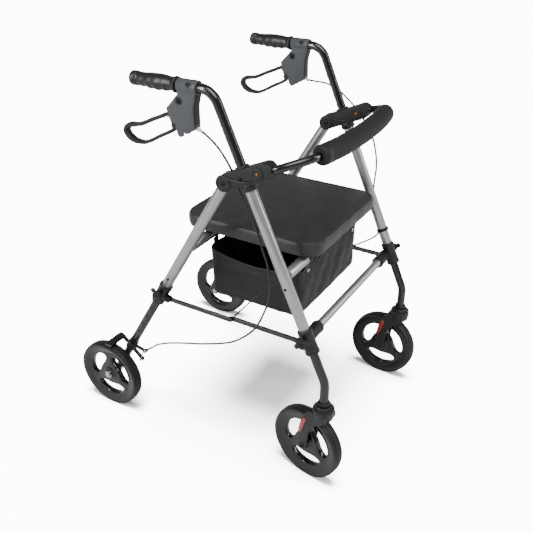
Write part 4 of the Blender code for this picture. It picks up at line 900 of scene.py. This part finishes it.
    lever_path = smooth_path([Vector((x, *(handle.yz + Vector(point)))) for point in LEVER_TOP], 0.004)
    widths = []
    for point in lever_path:
        reach = point.y - handle.y
        upper_arm = 0.095 < reach < 0.175 and point.z - GRIP_Z > -0.053 - 0.44 * reach + 0.002
        ripple = 0.16 * sin((reach - 0.095) * 2 * pi / 0.020) ** 2 if upper_arm else 0
        heel = 0.35 * max(0, min(1, (reach - 0.175) / 0.030))
        widths.append(1.0 + ripple + heel)
    lever = [swept(lever_path, widths, 24, flat=(LEVER_HALF, 0.0044))]
    for vert in lever[0].verts:
        vert.co.x = x + max(-LEVER_HALF, min(LEVER_HALF, (vert.co.x - x) * 1.25)) * 0.98
    root = [tuple(handle.yz + Vector(point)) for point in
            ((0.0500, -0.064), (0.0545, -0.088), (0.0640, -0.0980), (0.0730, -0.0985), (0.0800, -0.0940),
             (0.0790, -0.0850), (0.0835, -0.0740), (0.0900, -0.0700), (0.0800, -0.0580), (0.0580, -0.0370))]
    nose = arc(lever_at.yz, 0.0083, 50, 215, 10)
    lever.append(plate([nose + root[:1] + root[1:]], side_place(x), 2 * LEVER_HALF - 0.0008, 0.0012))
    piece("brake_lever_" + side, lever, nylon, "lever_" + side, "brake_lever_" + side)

    first, second = (Vector((sign * out, y, z)) for out, y, z in CABLES[side][:2])
    way = (second - first).normalized()
    cuff = [(CABLE_DIA / 2 + 0.0001, 0), (0.0046, 0), (0.0046, 0.006), (0.0038, 0.008), (0.0034, 0.013),
            (CABLE_DIA / 2 + 0.0001, 0.013), (CABLE_DIA / 2 + 0.0001, 0)]
    piece("cable_ferrule_" + side, [turned(cuff, first - way * 0.004, way, 28)], ferrule_white, body)


# ---- wheels -----------------------------------------------------------------------------------------------
# Gloss black moulded wheels, 200 mm with their tyres, three spokes round an open hub. The soft grey-black
# tyre is moulded on and has a shallow tread line each side of its middle.
gloss, tree, shader, place = start_material("gloss_black_wheel_plastic", "040404", 0.14, **{"Coat Weight": 0.1})
flow = add_node(tree, "ShaderNodeTexNoise", {"Scale": 1 / (25 * MM), "Detail": 3.0}, {"Vector": place})
vary(tree, shader, flow.outputs["Fac"], "030303", "060606", 0.1, 0.18)

tread, tree, shader, place = start_material("soft_pvc_tyre", "0e0e0d", 0.5, **{"Specular IOR Level": 0.35})
scuffs = add_node(tree, "ShaderNodeTexNoise", {"Scale": 1 / (7 * MM), "Detail": 6.0}, {"Vector": place})
vary(tree, shader, scuffs.outputs["Fac"], "0a0a09", "131311", 0.42, 0.6)
emboss(tree, shader, scuffs.outputs["Fac"], 0.2 * MM)

WHEEL_RADIUS, WHEEL_HALF = 0.1, 0.016
RIM = WHEEL_RADIUS - 0.0063
# one spoke opening, as degrees from its middle and metres from the axle
OPENING = [(-49, 0.0560), (-43, 0.0640), (-24, 0.0672), (0, 0.0675), (24, 0.0672), (43, 0.0640), (49, 0.0560),
           (43, 0.0440), (24, 0.0360), (0, 0.0345), (-24, 0.0360), (-43, 0.0440)]
for side, sign in SIDES.items():
    for which in ("front", "rear"):
        roll = joints[f"{which}_wheel_roll_{side}"]
        centre, along = Vector(roll["pos_m"]), Vector(roll["axis"]).normalized()
        radius = centre.z
        body = f"{which}_wheel_{side}"
        outer = radius - 0.0001
        section = [(RIM + 0.0003, -0.0143), (RIM + 0.003, -0.0150), (outer - 0.0022, -0.0125), (outer - 0.0004, -0.0085),
                   (outer, -0.0060), (outer - 0.0012, -0.0052), (outer - 0.0012, -0.0044), (outer, -0.0036), (outer, 0.0036),
                   (outer - 0.0012, 0.0044), (outer - 0.0012, 0.0052), (outer, 0.0060), (outer - 0.0004, 0.0085),
                   (outer - 0.0022, 0.0125), (RIM + 0.003, 0.0150), (RIM + 0.0003, 0.0143), (RIM + 0.0003, -0.0143)]
        piece(f"{which}_{side}_tyre", [turned(section, centre, along, 96)], tread, body, f"{which}_{side}_tyre")

        face = Matrix.Translation(centre) @ along.to_track_quat("Z", "Y").to_matrix().to_4x4()
        openings = [arc((0, 0), RIM - 0.010, 0, 355, 71)]
        for k in range(3):
            spots = [Vector((reach * cos(radians(150 + 120 * k + turn)), reach * sin(radians(150 + 120 * k + turn)), 0))
                     for turn, reach in OPENING + OPENING[:1]]
            openings.append([tuple(spot.xy) for spot in smooth_path(spots, 0.005)[:-1]])
        disc = plate(openings, face, 0.0170, 0.0028, 3)
        lip = [(RIM - 0.0230, -0.0080), (RIM - 0.0205, -0.0094), (RIM - 0.0130, -0.0112), (RIM - 0.0070, -0.0138),
               (RIM - 0.002, -0.0146), (RIM, -0.0138), (RIM, 0.0138), (RIM - 0.002, 0.0146), (RIM - 0.0070, 0.0138),
               (RIM - 0.0130, 0.0112), (RIM - 0.0205, 0.0094), (RIM - 0.0230, 0.0080), (RIM - 0.0230, -0.0080)]
        hub = [(0.0055, -0.0158), (0.0120, -0.0158), (0.0128, -0.0150), (0.0135, -0.0118), (0.0190, -0.0108),
               (0.0215, -0.0092), (0.0215, 0.0092), (0.0190, 0.0108), (0.0135, 0.0118), (0.0128, 0.0150),
               (0.0120, 0.0158), (0.0055, 0.0158), (0.0055, -0.0158)]
        shells = [disc, turned(lip, centre, along, 96), turned(hub, centre, along, 56)]
        piece(f"{which}_{side}_wheel", shells, gloss, body, f"{which}_{side}_wheel")
        seal = [(0.0052, -0.0005), (0.0108, -0.0005), (0.0108, 0.0004), (0.0052, 0.0004), (0.0052, -0.0005)]
        piece(f"{which}_{side}_bearings",
              [turned(seal, centre + along * way * 0.0160, along * way, 32) for way in (-1, 1)], zinc, body)


# ---- casters ------------------------------------------------------------------------------------------------
# Dark charcoal moulded forks that swivel under the front legs. A two-tier cap and a zinc ferrule close
# the swivel, and a red reflector is let into each outer arm's rear edge.
dark_fork, tree, shader, place = start_material("dark_charcoal_fork_nylon", "151617", 0.42, **{"Specular IOR Level": 0.4})
mould = add_node(tree, "ShaderNodeTexNoise", {"Scale": 1 / (1.3 * MM), "Detail": 5.0}, {"Vector": place})
vary(tree, shader, mould.outputs["Fac"], "111213", "1b1c1d", 0.34, 0.5)
emboss(tree, shader, mould.outputs["Fac"], 0.12 * MM)

reflector, tree, shader, place = start_material("red_prismatic_reflector", "8a0b0e", 0.2, **{"Coat Weight": 0.8})
prisms = add_node(tree, "ShaderNodeTexVoronoi", {"Scale": 1 / (2.2 * MM)}, {"Vector": place})
vary(tree, shader, prisms.outputs["Distance"], "6e080b", "a51317", 0.16, 0.34)
emboss(tree, shader, prisms.outputs["Distance"], 0.3 * MM)

for side, sign in SIDES.items():
    swivel = Vector(joints["caster_swivel_" + side]["pos_m"])
    roll = joints["front_wheel_roll_" + side]
    along, eye = Vector(roll["axis"]).normalized(), Vector(roll["pos_m"])
    body = "caster_" + side
    trail_way = Vector((-along.y, along.x, 0))
    placed = Matrix((along, trail_way, Vector((0, 0, 1)))).transposed().to_4x4()
    placed = Matrix.Translation((swivel.x, swivel.y, 0)) @ placed
    trail = (eye - swivel).dot(trail_way)
    low, crown_low = eye.z, eye.z + WHEEL_RADIUS + 0.0035
    crown_top = crown_low + 0.038
    tiers = [(0, crown_low), (0.0225, crown_low), (0.0250, crown_low + 0.0025), (0.0258, crown_low + 0.016),
             (0.0262, crown_low + 0.0185), (0.0265, crown_low + 0.0200), (0.0265, crown_low + 0.0280),
             (0.0252, crown_low + 0.0300), (0.0205, crown_low + 0.0306), (0.0200, crown_low + 0.0312),
             (0.0198, crown_low + 0.0360), (0.0182, crown_top), (0, crown_top)]
    shells = [turned(tiers, (0, 0, 0), (0, 0, 1), 64)]
    arm = ([(-0.0205, crown_low + 0.002), (-0.0195, crown_low + 0.0165), (-0.010, crown_low + 0.0190),
            (0.018, crown_low + 0.0185), (0.0300, crown_low + 0.0140), (0.0400, crown_low + 0.0010),
            (0.0480, crown_low - 0.0150), (0.0545, low + 0.065), (0.0580, low + 0.045), (0.0590, low + 0.025)]
           + arc((trail, low), 0.0125, 25, -165, 16)
           + [(0.0290, low + 0.020), (0.0280, low + 0.040), (0.0240, low + 0.058), (0.0160, low + 0.074),
              (0.0050, crown_low - 0.0180), (-0.0100, crown_low - 0.0080)])
    for way in (-1, 1):
        shells.append(plate([arm], side_place(way * 0.0210), 0.0050, 0.0014, 3))
        shells.append(pin((way * 0.0215, trail, low), (way * 0.0242, trail, low), 0.0098, 0.0012))
        ridge = [(0.0300, crown_low + 0.008), (0.0405, crown_low - 0.006), (0.0490, low + 0.068), (0.0520, low + 0.045),
                 (0.0485, low + 0.045), (0.0450, low + 0.066), (0.0370, crown_low - 0.008), (0.0270, crown_low + 0.004)]
        shells.append(plate([ridge], side_place(way * 0.0236), 0.0012, 0.0004, 2))
    bridge = [(-0.0205, crown_low + 0.0012), (-0.0195, crown_low + 0.0170), (0.0280, crown_low + 0.0165), (0.0290, crown_low + 0.0012)]
    shells.append(plate([bridge], side_place(0), 0.0420, 0.0012))
    for shape in shells:
        bmesh.ops.transform(shape, matrix=placed, verts=shape.verts)
    piece("caster_fork_" + side, shells, dark_fork, body, "caster_fork_" + side)
    glow = []
    strip = [(0.0400, crown_low - 0.0100), (0.0480, crown_low - 0.0230), (0.0535, low + 0.0600), (0.0555, low + 0.0420),
             (0.0500, low + 0.0405), (0.0435, low + 0.0570), (0.0370, crown_low - 0.0260), (0.0325, crown_low - 0.0140)]
    for way in (-1, 1):
        shape = plate([strip], side_place(way * 0.0247), 0.0016, 0.0005, 2)
        bmesh.ops.transform(shape, matrix=placed, verts=shape.verts)
        glow.append(shape)
    piece("caster_reflectors_" + side, glow, reflector, body)
    ferrule = [(INNER_RADIUS + 0.0003, 0), (0.0148, 0), (0.0152, 0.0010), (0.0146, 0.0085), (0.0132, 0.0095),
               (INNER_RADIUS + 0.0003, 0.0095), (INNER_RADIUS + 0.0003, 0)]
    piece("caster_ferrule_" + side, [turned(ferrule, (swivel.x, swivel.y, crown_top + 0.0010), (0, 0, 1), 40)],
          oxide, "front_lower_" + side)
    ends = [bolt_head(eye + along * way * 0.0244, along * way, 0.0070) for way in (-1, 1)]
    piece("front_axle_" + side, [pin(eye - along * 0.0240, eye + along * 0.0240, 0.0050), *ends], oxide, body,
          "front_axle_" + side)


# ---- rear axles and brakes ------------------------------------------------------------------------------------
# Each rear leg has a nylon collar with the cable's stop, and a flat steel arm that swings a shoe on to
# the tyre. A zinc spring lifts it off again.
for side, sign in SIDES.items():
    body = "rear_lower_" + side
    out = X * sign
    centre = Vector(joints["rear_wheel_roll_" + side]["pos_m"])
    inner = on_leg("rear", side, centre.z)
    start = inner - out * (INNER_RADIUS + 0.0028)
    end = centre + out * (WHEEL_HALF + 0.0030)
    nuts = [bolt_head(end, out, 0.0072), pin(start, start + out * 0.0024, 0.0078, 0.0006, 6)]
    washer = pin(inner + out * (INNER_RADIUS + 0.0002), inner + out * (INNER_RADIUS + 0.0036), 0.0075, 0.0004)
    piece("rear_axle_" + side, [pin(start, end, 0.0048), washer, *nuts], zinc, body, "rear_axle_" + side)

    brake_at = Vector(joints["brake_arm_" + side]["pos_m"])
    collar_start = brake_at + up_rear * 0.014
    collar = [(INNER_RADIUS + 0.0003, 0), (0.0130, 0), (0.0144, 0.0012), (0.0144, 0.0240), (0.0130, 0.0258),
              (INNER_RADIUS + 0.0003, 0.0258), (INNER_RADIUS + 0.0003, 0)]
    stop = brake_at + Vector((0, -0.0589, 0.0154))
    arrival = Vector((0, 0.783, -0.622))
    shells = [turned(collar, collar_start, up_rear, 40)]
    neck = collar_start + up_rear * 0.014
    neck = neck + (stop - neck).normalized() * 0.0125
    shells.append(plate([capsule(neck.yz, (stop - (stop - neck).normalized() * 0.0060).yz, 0.0052)],
                        side_place(neck.x), 0.0050, 0.0010))
    ear_x = brake_at.x - sign * (INNER_RADIUS + 0.0086)
    shells.append(plate([capsule(brake_at.yz, (collar_start + up_rear * 0.012).yz, 0.0074)],
                        side_place(ear_x), 0.0046, 0.0010))
    foot = collar_start + up_rear * 0.013
    shells.append(pin(foot - out * 0.0125, Vector((ear_x, *foot.yz)), 0.0058))
    piece("brake_bracket_" + side, shells, nylon, body, "brake_bracket_" + side)
    ring = [(CABLE_DIA / 2 + 0.0002, -0.0058), (0.0054, -0.0058), (0.0060, -0.0048), (0.0060, 0.0026), (0.0052, 0.0038),
            (0.0016, 0.0040), (0.0012, 0.0030), (CABLE_DIA / 2 + 0.0002, 0.0004), (CABLE_DIA / 2 + 0.0002, -0.0058)]
    adjuster = pin(stop + arrival * 0.0044, stop + arrival * 0.0090, 0.0036, 0.0004, 6)
    piece("cable_stop_ring_" + side, [turned(ring, stop, arrival, 32), adjuster], zinc, body)

    plate_x = brake_at.x - sign * (INNER_RADIUS + 0.0028)
    shoe_angle = radians(97)
    shoe_reach = WHEEL_RADIUS + 0.007
    shoe_at = Vector((0, centre.y + shoe_reach * cos(shoe_angle), centre.z + shoe_reach * sin(shoe_angle)))
    front_end = brake_at + Vector((0, -0.0325, -0.0290))
    arm = plate([capsule(front_end.yz, shoe_at.yz, 0.0068)], side_place(plate_x), 0.0048, 0.0009)
    shoe_start, shoe_end = abs(plate_x) - 0.0024, abs(centre.x) + WHEEL_HALF - 0.001
    shoe = bmesh.new()
    bmesh.ops.create_cube(shoe, size=1, matrix=Matrix.Translation((sign * (shoe_start + shoe_end) / 2, *shoe_at.yz))
                          @ Matrix.Rotation(shoe_angle - pi / 2, 4, "X")
                          @ Matrix.Diagonal((shoe_end - shoe_start, 0.0216, 0.0078, 1)))
    bmesh.ops.bevel(shoe, geom=shoe.edges[:], offset=0.0014, segments=3, profile=0.5, affect="EDGES", material=-1)
    piece("brake_arm_" + side, [arm, shoe], powder, "brake_arm_" + side, "brake_arm_" + side)
    wire_start, wire_end = stop + arrival * 0.0070, Vector((brake_at.x, *front_end.yz))
    wire = [wire_start, (wire_start + wire_end) / 2, wire_end]
    inner_end = Vector((plate_x, *front_end.yz))
    small = [swept(wire, 0.0009, 10), bolt_head(inner_end - out * 0.0026, -out, 0.0048),
             pin(inner_end + out * 0.0024, inner_end + out * 0.0110, 0.0030, 0.0004, 20)]
    piece("brake_wire_" + side, small, zinc, "brake_arm_" + side)
    coil = []
    TURNS, COIL_RADIUS = 6, 0.0052
    for k in range(TURNS * 12 + 1):
        a = 2 * pi * k / 12
        share = k / (TURNS * 12)
        coil.append(Vector((ear_x - sign * (0.0040 + 0.0085 * share), brake_at.y + COIL_RADIUS * cos(a),
                            brake_at.z + COIL_RADIUS * sin(a))))
    spring = [swept(coil, 0.0006, 8),
              pin((ear_x - sign * 0.0020, *brake_at.yz), (ear_x - sign * 0.0140, *brake_at.yz), 0.0024, 0.0006, 20)]
    piece("brake_spring_" + side, spring, zinc, body)


# ---- floor and light --------------------------------------------------------------------------------------------
# A plain white studio sweep under large soft lamps.
FLOOR_BOUNCE = 0.07              # the share of its light that the floor throws back on the walker
paper, tree, shader, place = start_material("white_studio_paper", "f4f4f4", 0.9)
fibres = add_node(tree, "ShaderNodeTexNoise", {"Scale": 1 / (3 * MM)}, {"Vector": place})
vary(tree, shader, fibres.outputs["Fac"], "f2f2f2", "f6f6f6", 0.85, 0.95)
seen = add_node(tree, "ShaderNodeLightPath")
share = add_node(tree, "ShaderNodeMath", {1: 1 - FLOOR_BOUNCE, 2: FLOOR_BOUNCE}, {0: seen.outputs["Is Camera Ray"]},
                 operation="MULTIPLY_ADD")
dimmed = add_node(tree, "ShaderNodeVectorMath", {}, {0: shader.inputs["Base Color"].links[0].from_socket,
                                                     "Scale": share.outputs["Value"]}, operation="SCALE")
tree.links.new(dimmed.outputs["Vector"], shader.inputs["Base Color"])
floor_shape = bmesh.new()
bmesh.ops.create_grid(floor_shape, x_segments=1, y_segments=1, size=40)
floor = piece("floor", [floor_shape], paper, None)

world = bpy.data.worlds.new("studio")
bpy.context.scene.world = world
world.use_nodes = True
world.node_tree.nodes["Background"].inputs["Color"].default_value = (1, 1, 1, 1)
tree = world.node_tree
seen = add_node(tree, "ShaderNodeLightPath")
glow = add_node(tree, "ShaderNodeMath", {1: 9.0, 2: 0.3}, {0: seen.outputs["Is Camera Ray"]}, operation="MULTIPLY_ADD")
tree.links.new(glow.outputs["Value"], tree.nodes["Background"].inputs["Strength"])
SUNS = {"softbox": ((0.9, 0.9, -2.6), 3.0, 50), "floor_lamp": ((0.05, 0.05, -1.0), 40.0, 26)}
for name, (toward, power, spread) in SUNS.items():
    lamp = bpy.data.objects.new(name, bpy.data.lights.new(name, "SUN"))
    lamp.data.energy, lamp.data.angle = power, radians(spread)
    lamp.rotation_euler = Vector(toward).to_track_quat("-Z", "Y").to_euler()
    bpy.context.scene.collection.objects.link(lamp)
floor_only = bpy.data.collections.new("floor_only")
floor_only.objects.link(floor)
lamp.light_linking.receiver_collection = floor_only
STRIPS = {"left": ((-2.2, 1.1, 1.9), 0.16, 2.0, 62), "right": ((0.9, -2.4, 1.9), 0.14, 2.0, 30)}
for name, (at, wide, tall, power) in STRIPS.items():
    lamp = bpy.data.objects.new(name + "_strip", bpy.data.lights.new(name, "AREA"))
    lamp.data.shape, lamp.data.size, lamp.data.size_y, lamp.data.energy = "RECTANGLE", wide, tall, power
    aim = Vector((0, 0, 0.5)) - Vector(at)
    lamp.matrix_world = Matrix.Translation(at) @ aim.to_track_quat("-Z", "Y").to_matrix().to_4x4()
    bpy.context.scene.collection.objects.link(lamp)
